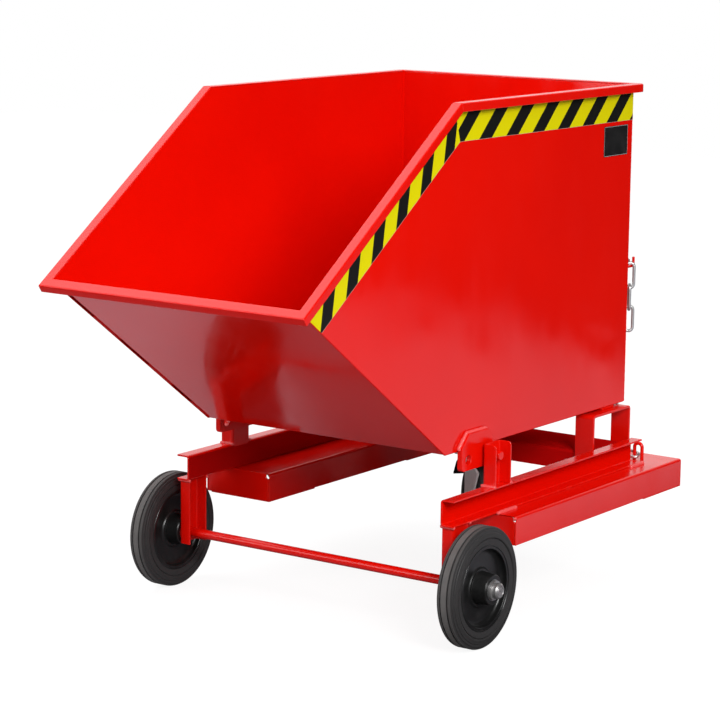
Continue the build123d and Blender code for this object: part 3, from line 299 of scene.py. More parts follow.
@dataclass(frozen=True)
class PowderCoat(Finish):
    """Stoved powder coat: even colour, faint orange peel, and lighter edges, partly where the coat lies
    thinner and partly a painted highlight.
    """

    colour: Colour = (0.77, 0.0042, 0.0003, 1.0)
    deep: Colour = (0.72, 0.0032, 0.0003, 1.0)
    # Lighter red for scuffs, and on edges partly for worn paint and partly as a painted highlight.
    rubbed_and_highlit: Colour = (0.80, 0.016, 0.008, 1.0)
    dust: Colour = (0.62, 0.10, 0.085, 1.0)
    gloss: float = 0.17
    sheen: float = 0.4
    edge_wear_and_highlight: float = 0.0
    scuffed: float = 0.16
    dusted: float = 0.10

    def draw(self, graph: Graph) -> bpy.types.Material:
        """Draws cloudy tone, dust, scuffed spots, smears in the gloss, the peel of the coat, and lighter edge
        patches that are partly worn paint and partly painted highlight.
        """
        where = graph.place()
        clouds = graph.noise(where, scale=2.6, detail=4.0)
        runs = graph.stretch(where, (1.0, 1.0, 0.35))
        smears = graph.noise(runs, scale=14.0, detail=5.0, roughness=0.6)
        specks = graph.noise(where, scale=420.0, detail=2.0).fade(0.70, 0.78)
        strokes = graph.stretch(where, (1.0, 0.18, 1.0))
        scuffs = graph.noise(strokes, scale=95.0, detail=4.0, roughness=0.65).fade(0.66, 0.74)
        # Edge patches of lighter red: partly worn paint, partly a painted highlight.
        thin_and_highlit = graph.noise(where, scale=60.0, detail=4.0).fade(0.42, 0.62)
        wear_and_highlight = (scuffs * self.scuffed + self.edge_wear_and_highlight * thin_and_highlit).fade(0.0, 1.0)
        tone = graph.mix(clouds.fade(0.3, 0.7), self.deep, self.colour)
        tone = graph.mix(wear_and_highlight, tone, self.rubbed_and_highlit)
        tone = graph.mix(specks * self.dusted * smears.fade(0.45, 0.7), tone, self.dust)
        peel = graph.noise(where, scale=260.0, detail=2.0, roughness=0.4)
        return graph.finish(
            Base_Color=tone,
            Roughness=self.gloss + 0.10 * smears.fade(0.35, 0.75) + 0.12 * specks,
            Normal=graph.bump(peel, depth=0.00010, strength=0.35),
            Specular_IOR_Level=self.sheen,
        )


@dataclass(frozen=True)
class ZincPlate(Finish):
    """Zinc-plated steel: pale satin metal with faint spangle and duller patches."""

    colour: Colour = (0.44, 0.44, 0.44, 1.0)
    dull: Colour = (0.26, 0.26, 0.26, 1.0)
    metal: float = 0.92

    def draw(self, graph: Graph) -> bpy.types.Material:
        """Draws spangle, dull patches and fine turning marks."""
        where = graph.place()
        spangle = graph.cells(where, scale=300.0)
        patches = graph.noise(where, scale=55.0, detail=5.0, roughness=0.6)
        grain = graph.noise(where, scale=1400.0, detail=2.0)
        tone = graph.mix(patches.fade(0.45, 0.75) * 0.7 + spangle * 0.2, self.colour, self.dull)
        return graph.finish(
            Base_Color=tone,
            Metallic=self.metal,
            Roughness=0.26 + 0.16 * patches + 0.08 * spangle,
            Normal=graph.bump(grain, depth=0.00003, strength=0.5),
        )


@dataclass(frozen=True)
class Rubber(Finish):
    """Solid black rubber: dusty tread, moulded rings on the sides and a fine grain."""

    centre: Point = (0.0, 0.0, 0.0)
    turn: float = 0.0
    tread_radius: float = 125.0
    tread_fade: Span = (2.5, 0.5)
    band: float = 5.8
    band_fade: float = 0.6
    ring_waves: float = 2600.0
    sheen: float = 0.28
    colour: Colour = (0.032, 0.0305, 0.031, 1.0)
    dusty: Colour = (0.17, 0.162, 0.158, 1.0)

    def draw(self, graph: Graph) -> bpy.types.Material:
        """Draws grain, dust on the tread's middle band and less beside it, and the mould's fine rings."""
        where = graph.place(tuple(v * MM for v in self.centre), (0.0, 0.0, math.radians(self.turn)))
        reach = graph.length(graph.stretch(where, (0.0, 1.0, 1.0)))
        tread = reach.fade(*((self.tread_radius - inside) * MM for inside in self.tread_fade))
        aside = abs(graph.along(where, (1.0 / MM, 0.0, 0.0)))
        middle = 1.0 - aside.fade(self.band, self.band + self.band_fade)
        patches = graph.noise(where, scale=38.0, detail=5.0, roughness=0.65)
        grain = graph.noise(where, scale=900.0, detail=3.0)
        rings = graph.math("SINE", reach * self.ring_waves) * 0.5 + 0.5
        dust = tread * (0.25 + 0.4 * middle) * (0.6 + 0.7 * patches) + 0.04 * patches.fade(0.5, 0.8)
        height = grain * 0.7 + rings * (1.0 - tread) * 0.25
        return graph.finish(
            Base_Color=graph.mix(dust, self.colour, self.dusty),
            Roughness=0.38 + 0.2 * patches + 0.2 * tread,
            Specular_IOR_Level=self.sheen,
            Normal=graph.bump(height, depth=0.00012, strength=0.6),
        )


@dataclass(frozen=True)
class BlackMoulding(Finish):
    """Black moulded plastic or black coat with a low sheen and a light film of dust."""

    colour: Colour = (0.007, 0.007, 0.007, 1.0)
    dusty: Colour = (0.022, 0.021, 0.021, 1.0)
    gloss: float = 0.34
    sheen: float = 0.2

    def draw(self, graph: Graph) -> bpy.types.Material:
        """Draws moulding grain and a thin film of dust."""
        where = graph.place()
        film = graph.noise(where, scale=24.0, detail=5.0, roughness=0.6)
        grain = graph.noise(where, scale=700.0, detail=2.0)
        return graph.finish(
            Base_Color=graph.mix(film.fade(0.45, 0.85), self.colour, self.dusty),
            Roughness=self.gloss + 0.18 * film,
            Normal=graph.bump(grain, depth=0.00005, strength=0.5),
            Specular_IOR_Level=self.sheen,
        )


@dataclass(frozen=True)
class HazardTape(Finish):
    """Glossy film with slanted black stripes on yellow and a pale cut edge."""

    start: tuple[float, float] = (0.0, 0.0)
    way: tuple[float, float] = (1.0, 0.0)
    lean: float = 1.0
    period: float = 100.0
    black_from: float = 0.0
    black_width: float = 46.0
    upper: float = 4.0
    lower: float = 79.0
    yellow: Colour = (0.69, 0.62, 0.0003, 1.0)
    black: Colour = (0.008, 0.008, 0.007, 1.0)
    cut: Colour = (0.36, 0.34, 0.27, 1.0)
    soiled: Colour = (0.30, 0.24, 0.03, 1.0)
    cut_fade: Span = (0.8, 0.4)
    sheen: float = 0.1

    def draw(self, graph: Graph) -> bpy.types.Material:
        """Draws the stripes from the run along the tape and the drop below the rim."""
        where = graph.place((0.0, self.start[0] * MM, self.start[1] * MM))
        run = graph.along(where, (0.0, self.way[0] / MM, self.way[1] / MM))
        drop = graph.along(where, (0.0, self.drop[0] / MM, self.drop[1] / MM))
        place = graph.math("WRAP", run + self.lean * drop - self.black_from, self.period, 0.0)
        stripe = place.fade(self.black_width - 0.4, self.black_width + 0.4) * place.fade(0.0, 0.8)
        middle = (self.upper + self.lower) / 2
        half = (self.lower - self.upper) / 2
        border = abs(drop - middle).fade(*(half - inside for inside in self.cut_fade))
        smears = graph.noise(where, scale=30.0, detail=4.0)
        ripple = graph.noise(where, scale=120.0, detail=2.0)
        tone = graph.mix(stripe, self.black, self.yellow)
        tone = graph.mix(border, tone, self.cut)
        return graph.finish(
            Base_Color=graph.mix(smears.fade(0.6, 0.95) * 0.12, tone, self.soiled),
            Roughness=0.26 + 0.14 * smears,
            Normal=graph.bump(ripple, depth=0.00006, strength=0.4),
            Specular_IOR_Level=self.sheen,
        )

    @property
    def drop(self) -> tuple[float, float]:
        """Direction square to the tape's run, down the wall."""
        sign = -1.0 if self.way[0] > 0 else 1.0
        return (-sign * self.way[1], sign * self.way[0])


@dataclass(frozen=True)
class PaleLine(Finish):
    """Thin printed line in pale grey."""

    colour: Colour = (0.40, 0.39, 0.39, 1.0)
    worn: Colour = (0.22, 0.22, 0.22, 1.0)

    def draw(self, graph: Graph) -> bpy.types.Material:
        """Draws a slightly uneven print."""
        uneven = graph.noise(graph.place(), scale=800.0, detail=3.0)
        return graph.finish(
            Base_Color=graph.mix(uneven * 0.5, self.colour, self.worn),
            Roughness=0.4 + 0.1 * uneven,
        )


RED = PowderCoat("red_powder_coat", Slot.RED_PAINT)
RED_SHEET = PowderCoat("red_powder_coat_on_wrap", Slot.RED_PAINT, gloss=0.07)
# Coat of the rounded edges: lighter patches, partly worn paint and partly a painted highlight.
RED_EDGE_WORN_AND_HIGHLIT = PowderCoat("red_powder_coat_on_edges_worn_and_highlit", Slot.RED_PAINT, gloss=0.2, edge_wear_and_highlight=0.5)
RED_FRAME = PowderCoat("red_powder_coat_on_frame", Slot.RED_PAINT, sheen=0.55)
RED_RECESS = PowderCoat("red_powder_coat_in_recesses", Slot.RED_PAINT, gloss=0.55, sheen=0.0)
# Darker red with no sheen for faces under the box: painted shade.
RED_PAINTED_SHADE = PowderCoat(
    "red_powder_coat_painted_shade", Slot.RED_PAINT, gloss=0.55, sheen=0.0,
    colour=(0.50, 0.003, 0.003, 1.0), deep=(0.44, 0.003, 0.003, 1.0),
)
# Near-black red: painted shade in the open stretches of the front seams.
RED_GAP_SHADE = PowderCoat(
    "red_powder_coat_painted_gap_shade", Slot.RED_PAINT, gloss=0.6, sheen=0.0,
    colour=(0.07, 0.001, 0.002, 1.0), deep=(0.05, 0.001, 0.002, 1.0),
)
# Weld beads: paler pink red, a painted highlight on top of the full sheen.
RED_WELD_HIGHLIT = PowderCoat(
    "red_powder_coat_on_welds_highlit", Slot.RED_PAINT, gloss=0.2, sheen=1.0,
    colour=(0.82, 0.09, 0.09, 1.0), deep=(0.80, 0.06, 0.06, 1.0),
)
ZINC = ZincPlate("zinc_plate", Slot.GALVANISED)
BRIGHT_ZINC = ZincPlate(
    "bright_zinc", Slot.GALVANISED, colour=(0.72, 0.72, 0.72, 1.0), dull=(0.52, 0.51, 0.51, 1.0)
)
AXLE_ZINC = ZincPlate(
    "axle_zinc", Slot.GALVANISED, metal=0.78, colour=(0.44, 0.43, 0.43, 1.0), dull=(0.27, 0.26, 0.26, 1.0)
)
# Dull zinc for the castor fork, its colour lightened further as painted light for the fork's place in the
# shade under the box.
FORK_ZINC_LIGHTENED = ZincPlate(
    "fork_zinc_lightened", Slot.GALVANISED, metal=0.1, colour=(0.84, 0.82, 0.82, 1.0), dull=(0.70, 0.68, 0.68, 1.0)
)
CENTRE = BlackMoulding("black_wheel_centre", Slot.WHEEL_CENTRE, gloss=0.25, sheen=0.45)
BRAKE_COAT = BlackMoulding("black_brake_coat", Slot.BRAKE_PAINT, gloss=0.42)
PLATE_COAT = BlackMoulding("black_type_plate", Slot.TYPE_PLATE, gloss=0.36)
PLATE_LINE = PaleLine("type_plate_line", Slot.TYPE_PLATE)


class Shop:
    """Ways to make and finish the meshes of the pieces.

    The angles are in degrees: faces that turn less than flat_angle are one face, and edges that turn outwards
    by more than proud_angle are rounded. Points nearer than merge_distance, in metres, are one point.
    """

    merge_distance = 2e-6
    flat_angle = 0.5
    proud_angle = 32.0
    flat_weight = 80

    @staticmethod
    def object_of(mesh: bpy.types.Mesh, name: str) -> bpy.types.Object:
        """New object at the origin that shows the mesh."""
        made = bpy.data.objects.new(name, mesh)
        bpy.context.scene.collection.objects.link(made)
        return made

    @staticmethod
    def from_bmesh(shape: bmesh.types.BMesh, name: str) -> bpy.types.Object:
        """New object from a bmesh, which is freed."""
        mesh = bpy.data.meshes.new(name)
        shape.to_mesh(mesh)
        shape.free()
        return Shop.object_of(mesh, name)

    @staticmethod
    def settle(made: bpy.types.Object) -> bpy.types.Object:
        """Applies every modifier and leaves a plain mesh."""
        graph = bpy.context.evaluated_depsgraph_get()
        graph.update()
        mesh = bpy.data.meshes.new_from_object(made.evaluated_get(graph))
        made.modifiers.clear()
        made.data = mesh
        return made

    @staticmethod
    def copy_of(node: str) -> bpy.types.Object:
        """Merged copy of a CAD node.

        Args:
            node: The CAD node's name.

        Returns:
            The copy, with the triangles of each flat face joined and its proud edges marked.
        """
        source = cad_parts[node].data
        plain = bpy.data.meshes.new(node)
        plain.from_pydata([v.co for v in source.vertices], [], [p.vertices for p in source.polygons])
        shape = bmesh.new()
        shape.from_mesh(plain)
        bpy.data.meshes.remove(plain)
        flat, proud = math.radians(Shop.flat_angle), math.radians(Shop.proud_angle)
        bmesh.ops.remove_doubles(shape, verts=shape.verts, dist=Shop.merge_distance)
        bmesh.ops.dissolve_limit(shape, angle_limit=flat, verts=shape.verts, edges=shape.edges)
        weights = shape.edges.layers.float.new(BEVEL_WEIGHT)
        for edge in shape.edges:
            marked = edge.is_manifold and edge.calc_face_angle_signed() > proud
            edge[weights] = 1.0 if marked else 0.0
        return Shop.from_bmesh(shape, node + "_dressed")

    @staticmethod
    def round_edges(made: bpy.types.Object, width: float, steps: int = 2) -> bpy.types.Object:
        """Rounds the proud edges and keeps flat faces flat.

        Args:
            made: The piece, whose last material goes on the rounded edges.
            width: Width of the rounding in millimetres.
            steps: Faces across the rounding.

        Returns:
            The same piece, as a plain mesh.
        """
        made.data.shade_smooth()
        bevel = made.modifiers.new("edges", "BEVEL")
        bevel.width = width * MM
        bevel.segments = steps
        bevel.limit_method = "WEIGHT"
        bevel.use_clamp_overlap = False
        bevel.material = len(made.data.materials) - 1
        level = made.modifiers.new("flats", "WEIGHTED_NORMAL")
        level.weight = Shop.flat_weight
        level.keep_sharp = True
        return Shop.settle(made)

    @staticmethod
    def turned(
        name: str, section: Sequence[Span], centre: Point, axis: Vector, steps: int
    ) -> bpy.types.Object:
        """Closed ring-shaped solid turned about an axis.

        Args:
            name: The object's name.
            section: Points of its closed section, each the place along the axis and the radius, in mm.
            centre: The point on the axis where the section's first number is 0, in millimetres.
            axis: Direction of the axis.
            steps: Faces round the turn.

        Returns:
            The turned piece.
        """
        basis = axis.to_track_quat("X", "Z").to_matrix()
        shape = bmesh.new()
        rings = []
        for step in range(steps):
            angle = 2 * math.pi * step / steps
            ring = []
            for place, radius in section:
                local = Vector((place, radius * math.cos(angle), radius * math.sin(angle)))
                ring.append(shape.verts.new((Vector(centre) + basis @ local) * MM))
            rings.append(ring)
        count = len(section)
        for step in range(steps):
            near, far = rings[step], rings[(step + 1) % steps]
            for i in range(count):
                j = (i + 1) % count
                shape.faces.new((near[i], near[j], far[j], far[i]))
        bmesh.ops.recalc_face_normals(shape, faces=shape.faces)
        return Shop.from_bmesh(shape, name)

    @staticmethod
    def smooth(made: bpy.types.Object, angle: float = proud_angle) -> bpy.types.Object:
        """Smooth shading with sharp edges where faces meet at more than the angle."""
        made.data.shade_smooth()
        made.data.set_sharp_from_angle(angle=math.radians(angle))
        return made


class Dressing:
    """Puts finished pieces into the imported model."""

    wheel_crease = 38.0

    @staticmethod
    def coat(made: bpy.types.Object, *finishes: Finish) -> bpy.types.Object:
        """Gives a piece its materials in order."""
        made.data.materials.clear()
        for finish in finishes:
            made.data.materials.append(finish.material())
        return made

    @staticmethod
    def place(made: bpy.types.Object, body: Body, slot: Slot, *nodes: str) -> bpy.types.Object:
        """Rides a piece on a body and hides the nodes that it stands for.

        Args:
            made: The finished piece.
            body: The body that carries it.
            slot: The record's slot of its finish; not used.
            *nodes: The CAD nodes that it stands for.

        Returns:
            The same piece.
        """
        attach(made, body.value)
        if nodes:
            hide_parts(*nodes)
        log.info("%s on %s, %d faces", made.name, body.value, len(made.data.polygons))
        return made

    @staticmethod
    def folded(body: Body, rounding: float, *nodes: str, finish: Finish = RED) -> None:
        """Replaces red sheet-steel nodes by copies with rounded edges."""
        for node in nodes:
            made = Dressing.coat(Shop.copy_of(node), finish, RED_EDGE_WORN_AND_HIGHLIT)
            Dressing.place(Shop.round_edges(made, rounding), body, Slot.RED_PAINT, node)

    @staticmethod
    def smoothed(body: Body, finish: Finish, rounding: float, *nodes: str) -> None:
        """Replaces turned or pressed nodes by smooth copies with softened edges."""
        for node in nodes:
            made = Dressing.coat(Shop.copy_of(node), finish)
            Dressing.place(Shop.round_edges(made, rounding), body, finish.slot, node)

    @staticmethod
    def kept(finish: Finish, *nodes: str) -> None:
        """Gives CAD nodes that stay as they are their finish."""
        for node in nodes:
            Dressing.coat(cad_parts[node], finish)
            log.info("%s kept", node)

    @staticmethod
    def wheel_part(
        node: str, body: Body, finish: Finish, half: Section, centre: Point, axis: Vector, steps: int
    ) -> None:
        """Replaces a wheel's tyre or disc by a turned piece.

        Args:
            node: The CAD node that it stands for.
            body: The wheel's body.
            finish: Its finish.
            half: One half of its section, as in Shop.turned. The other half mirrors it.
            centre: The wheel's centre in millimetres.
            axis: Direction of its axle.
            steps: Faces round the turn.
        """
        section = [*half, *[(-place, radius) for place, radius in reversed(half)]]
        made = Shop.turned(node + "_dressed", section, centre, axis, steps)
        Dressing.coat(Shop.smooth(made, Dressing.wheel_crease), finish)
        Dressing.place(made, body, finish.slot, node)


class Recipe(Canvas):
    """A Geometry Nodes tree with named inputs, run once on a piece and turned into a plain mesh."""

    def __init__(self, name: str, inputs: dict[str, str]) -> None:
        """Makes a tree with a geometry input, the named inputs and a geometry output."""
        tree = bpy.data.node_groups.new(name, "GeometryNodeTree")
        tree.interface.new_socket("Geometry", in_out="INPUT", socket_type="NodeSocketGeometry")
        for label, kind in inputs.items():
            tree.interface.new_socket(label, in_out="INPUT", socket_type=kind)
        tree.interface.new_socket("Geometry", in_out="OUTPUT", socket_type="NodeSocketGeometry")
        super().__init__(tree)
        self.start = self.node("NodeGroupInput").outputs

    def end(self, instances: bpy.types.NodeSocket) -> None:
        """Ends the tree: instances made real, shaded smooth and given the material input."""
        real = self.result("GeometryNodeRealizeInstances", {}, {0: instances})
        soft = self.result("GeometryNodeSetShadeSmooth", {}, {"Geometry": real})
        coat = {"Geometry": soft, "Material": self.start["Material"]}
        dressed = self.result("GeometryNodeSetMaterial", {}, coat)
        self.node("NodeGroupOutput", {}, {0: dressed})

    def run(self, made: bpy.types.Object, values: dict[str, object]) -> bpy.types.Object:
        """Runs the tree on an object.

        Args:
            made: The object whose points or edges the tree starts from.
            values: Values of the named inputs.

        Returns:
            The same object, as a plain mesh.
        """
        modifier = made.modifiers.new(self.tree.name, "NODES")
        modifier.node_group = self.tree
        for item in self.tree.interface.items_tree:
            if item.in_out == "INPUT" and item.name in values:
                modifier[item.identifier] = values[item.name]
        return Shop.settle(made)


class WeldBeads:
    """Weld beads along seams: overlapping ripples that follow each seam line.

    The ripples lie ripple_spacing bead radii apart and swell by random shares between the two swells.
    """

    ripple_spacing = 0.55
    ripple_steps = 2
    least_swell = (0.75, 0.86, 0.86)
    most_swell = (0.95, 1.12, 1.12)

    def __init__(self) -> None:
        """Builds the tree that lays ripples along the edges of a mesh."""
        sizes = dict.fromkeys(("Bead Radius", "Ripple Step"), "NodeSocketFloat")
        recipe = Recipe("weld_ripples", {**sizes, "Seed": "NodeSocketInt", "Material": "NodeSocketMaterial"})
        start = recipe.start
        curve = recipe.result("GeometryNodeMeshToCurve", {}, {0: start["Geometry"]})
        spaced = recipe.result(
            "GeometryNodeResampleCurve", {"mode": "LENGTH"}, {"Curve": curve, "Length": start["Ripple Step"]}
        )
        ripple = recipe.result(
            "GeometryNodeMeshIcoSphere", {},
            {"Radius": start["Bead Radius"], "Subdivisions": self.ripple_steps},
        )
        tangent = recipe.result("GeometryNodeInputTangent")
        turn = recipe.result("FunctionNodeAlignRotationToVector", {"axis": "X"}, {"Vector": tangent})
        swell = recipe.result(
            "FunctionNodeRandomValue", {"data_type": "FLOAT_VECTOR"},
            {0: self.least_swell, 1: self.most_swell, "Seed": start["Seed"]},
        )
        placed = recipe.result(
            "GeometryNodeInstanceOnPoints", {},
            {"Points": spaced, "Instance": ripple, "Rotation": turn, "Scale": swell},
        )
        recipe.end(placed)
        self.recipe = recipe

    def lay(
        self, name: str, body: Body, radius: float, seams: Sequence[Sequence[Point]], seed: int,
        # By default the beads take the paler red of the painted highlight.
        finish: Finish = RED_WELD_HIGHLIT,
    ) -> None:
        """Lays beads of one size along seams.

        Args:
            name: The piece's name.
            body: The body that carries the welded parts.
            radius: Radius of the bead in millimetres.
            seams: Lines of points in millimetres.
            seed: Seed of the ripples' sizes.
            finish: The beads' finish.
        """
        points: list[Vector] = []
        edges: list[tuple[int, int]] = []
        for seam in seams:
            first = len(points)
            points += [Vector(p) * MM for p in seam]
            edges += [(first + i, first + i + 1) for i in range(len(seam) - 1)]
        mesh = bpy.data.meshes.new(name)
        mesh.from_pydata(points, edges, [])
        values = {
            "Bead Radius": radius * MM,
            "Ripple Step": radius * self.ripple_spacing * MM,
            "Seed": seed,
            "Material": finish.material(),
        }
        made = self.recipe.run(Shop.object_of(mesh, name), values)
        Dressing.place(made, body, finish.slot)


@dataclass
class TippingBox:
    """The box with its rim, tape, type plate, hinge plates and rest pads."""

    wall_x: float = 306.0
    knee: Span = (-148.8, 1088.0)
    mouth_fall: float = 35.2
    floor_z: float = 379.5
    floor_front_y: float = -157.3
    front_rise: float = 35.7
    front_length: float = 607.0
    rear_y: float = 566.7
    sheet: float = 3.0
    sheet_rounding: float = 0.8
    wall_rounding: float = 2.3
    wall_steps: int = 4
    wall_inner_share: float = 0.2
    rim_rounding: float = 1.3
    hinge_rounding: float = 1.2
    hook_rounding: float = 0.8
    plate_low: Span = (443.2, 935.5)
    plate_high: Span = (544.2, 1000.5)
    plate_proud: float = 0.8
    plate_line: float = 0.9
    plate_line_inset: float = 0.7
    plate_line_proud: float = 0.02
    hinge_y: Span = (-113.3, 11.7)
    hinge_top: float = 415.0
    hinge_chamfer: float = 27.0
    hinge_weld: float = 4.2
    hinge_weld_proud: float = 3.6
    hinge_weld_rise: float = 6.0
    corner_weld: float = 3.4
    front_weld: float = 2.4
    front_weld_depth: float = 3.0
    front_weld_inset: float = 1.0
    front_stitches: tuple[Span, ...] = ((0.02, 0.12), (0.26, 0.40), (0.60, 0.75))
    front_open: tuple[Span, ...] = ((0.125, 0.25), (0.41, 0.59), (0.755, 0.945))
    # Size of the strips of painted shade in those open stretches.
    gap_width: float = 4.0
    gap_proud: float = 0.3

    def build(self, welds: WeldBeads) -> None:
        """Makes every piece of the box."""
        self.walls()
        Dressing.folded(Body.BOX, self.sheet_rounding, "wrap_sheet", finish=RED_SHEET)
        Dressing.folded(Body.BOX, self.rim_rounding, "upper_rim", "slanted_rim")
        Dressing.folded(Body.BOX, self.hinge_rounding, "hinge_plate_left", "hinge_plate_right", "rest_pads")
        Dressing.smoothed(Body.BOX, RED, self.hook_rounding, "chain_hook")
        self.tapes()
        self.type_plate()
        welds.lay("hinge_welds", Body.BOX, self.hinge_weld, self.hinge_seams(), seed=3)
        welds.lay("corner_welds", Body.BOX, self.corner_weld, self.corner_seams(), seed=11, finish=RED_RECESS)
        welds.lay("front_welds", Body.BOX, self.front_weld, self.front_seams(), seed=17, finish=RED)
        # Painted shade: dark strips in the open stretches of the front seams.
        self.front_gap_shade()

    def walls(self) -> None:
        """Makes the side walls, whose outer edges are rounder than their inner ones."""
        for side in Side:
            node = f"side_wall_{side.word}"
            made = Dressing.coat(Shop.copy_of(node), RED_SHEET)
            weights = made.data.attributes[BEVEL_WEIGHT].data
            for edge in made.data.edges:
                start = made.data.vertices[edge.vertices[0]].co
                if abs(start.x) < (self.wall_x - CLOSE) * MM:
                    weights[edge.index].value *= self.wall_inner_share
            Shop.round_edges(made, self.wall_rounding, self.wall_steps)
            Dressing.place(made, Body.BOX, Slot.RED_PAINT, node)

    def tapes(self) -> None:
        """Gives the two runs of tape their stripes."""
        fall = math.radians(self.mouth_fall)
        top = HazardTape(
            "hazard_tape_on_top", Slot.HAZARD_TAPE, start=self.knee, way=(1.0, 0.0), lean=1.03, period=101.0,
            black_from=74.0, black_width=47.0,
        )
        slope = HazardTape(
            "hazard_tape_on_slope", Slot.HAZARD_TAPE, start=self.knee, way=(-math.cos(fall), -math.sin(fall)),
            lean=-0.98, period=99.3, black_from=-28.0, black_width=46.0,
        )
        Dressing.kept(top, "hazard_tape_top")
        Dressing.kept(slope, "hazard_tape_slanted")

    def type_plate(self) -> None:
        """Makes the bare type plate with its printed border line."""
        shape = bmesh.new()
        low, high = self.plate_low, self.plate_high
        printed = self.plate_proud + self.plate_line_proud
        levels = [
            (0.0, 0.0), (0.0, self.plate_proud), (self.plate_line_inset, printed),
            (self.plate_line_inset + self.plate_line, printed),
        ]
        rings = []
        for inset, proud in levels:
            corners = [
                (low[0] + inset, low[1] + inset), (high[0] - inset, low[1] + inset),
                (high[0] - inset, high[1] - inset), (low[0] + inset, high[1] - inset),
            ]
            rings.append([shape.verts.new(Vector((self.wall_x + proud, y, z)) * MM) for y, z in corners])
        for below, above in zip(rings, rings[1:]):
            for i in range(4):
                j = (i + 1) % 4
                shape.faces.new((below[i], below[j], above[j], above[i]))
        line_faces = range(len(shape.faces))[-4:]
        shape.faces.new(rings[-1])
        shape.faces.new(rings[0][::-1])
        made = Dressing.coat(Shop.from_bmesh(shape, "type_plate_dressed"), PLATE_COAT, PLATE_LINE)
        for face in line_faces:
            made.data.polygons[face].material_index = 1
        Dressing.place(made, Body.BOX, Slot.TYPE_PLATE, "type_plate")

    def hinge_seams(self) -> list[list[Point]]:
        """Weld lines round the hinge plates."""
        near, far = self.hinge_y
        low, high = self.floor_z + self.hinge_weld_rise, self.hinge_top
        cut = self.hinge_chamfer
        seams = []
        for side in Side:
            x = side.value * (self.wall_x + self.hinge_weld_proud)
            seams.append([
                (x, near, low), (x, near, high - cut), (x, near + cut, high), (x, far - cut, high),
                (x, far, high - cut), (x, far, low),
            ])
        return seams

    def corner_seams(self) -> list[list[Point]]:
        """Weld lines inside the box's upright rear corners."""
        seams = []
        for side in Side:
            x = side.value * (self.wall_x - self.sheet)
            y = self.rear_y - self.sheet
            seams.append([(x, y, self.floor_z + self.sheet), (x, y, self.knee[1] - self.sheet)])
        return seams

    def on_front(self, share: float, depth: float) -> Vector:
        """Place on the sloping front, as Y and Z.

        Args:
            share: Share of the front's length, up from its foot.
            depth: Depth below its surface in millimetres.

        Returns:
            The place in millimetres.
        """
        rise = math.radians(self.front_rise)
        up = Vector((-math.cos(rise), math.sin(rise)))
        inward = Vector((math.sin(rise), math.cos(rise)))
        foot = Vector((self.floor_front_y, self.floor_z))
        return foot + up * self.front_length * share + inward * depth

    def front_seams(self) -> list[list[Point]]:
        """Stitches between the sloping front sheet and the edges of the side walls."""
        seams = []
        for side in Side:
            x = side.value * (self.wall_x - self.sheet - self.front_weld_inset)
            for stitch in self.front_stitches:
                seams.append([(x, *self.on_front(share, self.front_weld_depth)) for share in stitch])
        return seams

    def front_gap_shade(self) -> None:
        """Makes near-black strips on the front sheet's edges between its stitches: painted shade where the
        seam lies open.
        """
        shape = bmesh.new()
        for side in Side:
            edge = side.value * (self.wall_x - self.sheet)
            across = (edge, edge - side.value * self.gap_width)
            depths = (self.front_weld_depth - self.gap_proud, self.front_weld_depth + self.gap_proud)
            for stretch in self.front_open:
                corners = [
                    shape.verts.new(Vector((x, *self.on_front(share, depth))) * MM)
                    for x in across for share in stretch for depth in depths
                ]
                bmesh.ops.convex_hull(shape, input=corners)
        made = Dressing.coat(Shop.from_bmesh(shape, "front_gap_shade"), RED_GAP_SHADE)
        Dressing.place(made, Body.BOX, Slot.RED_PAINT)


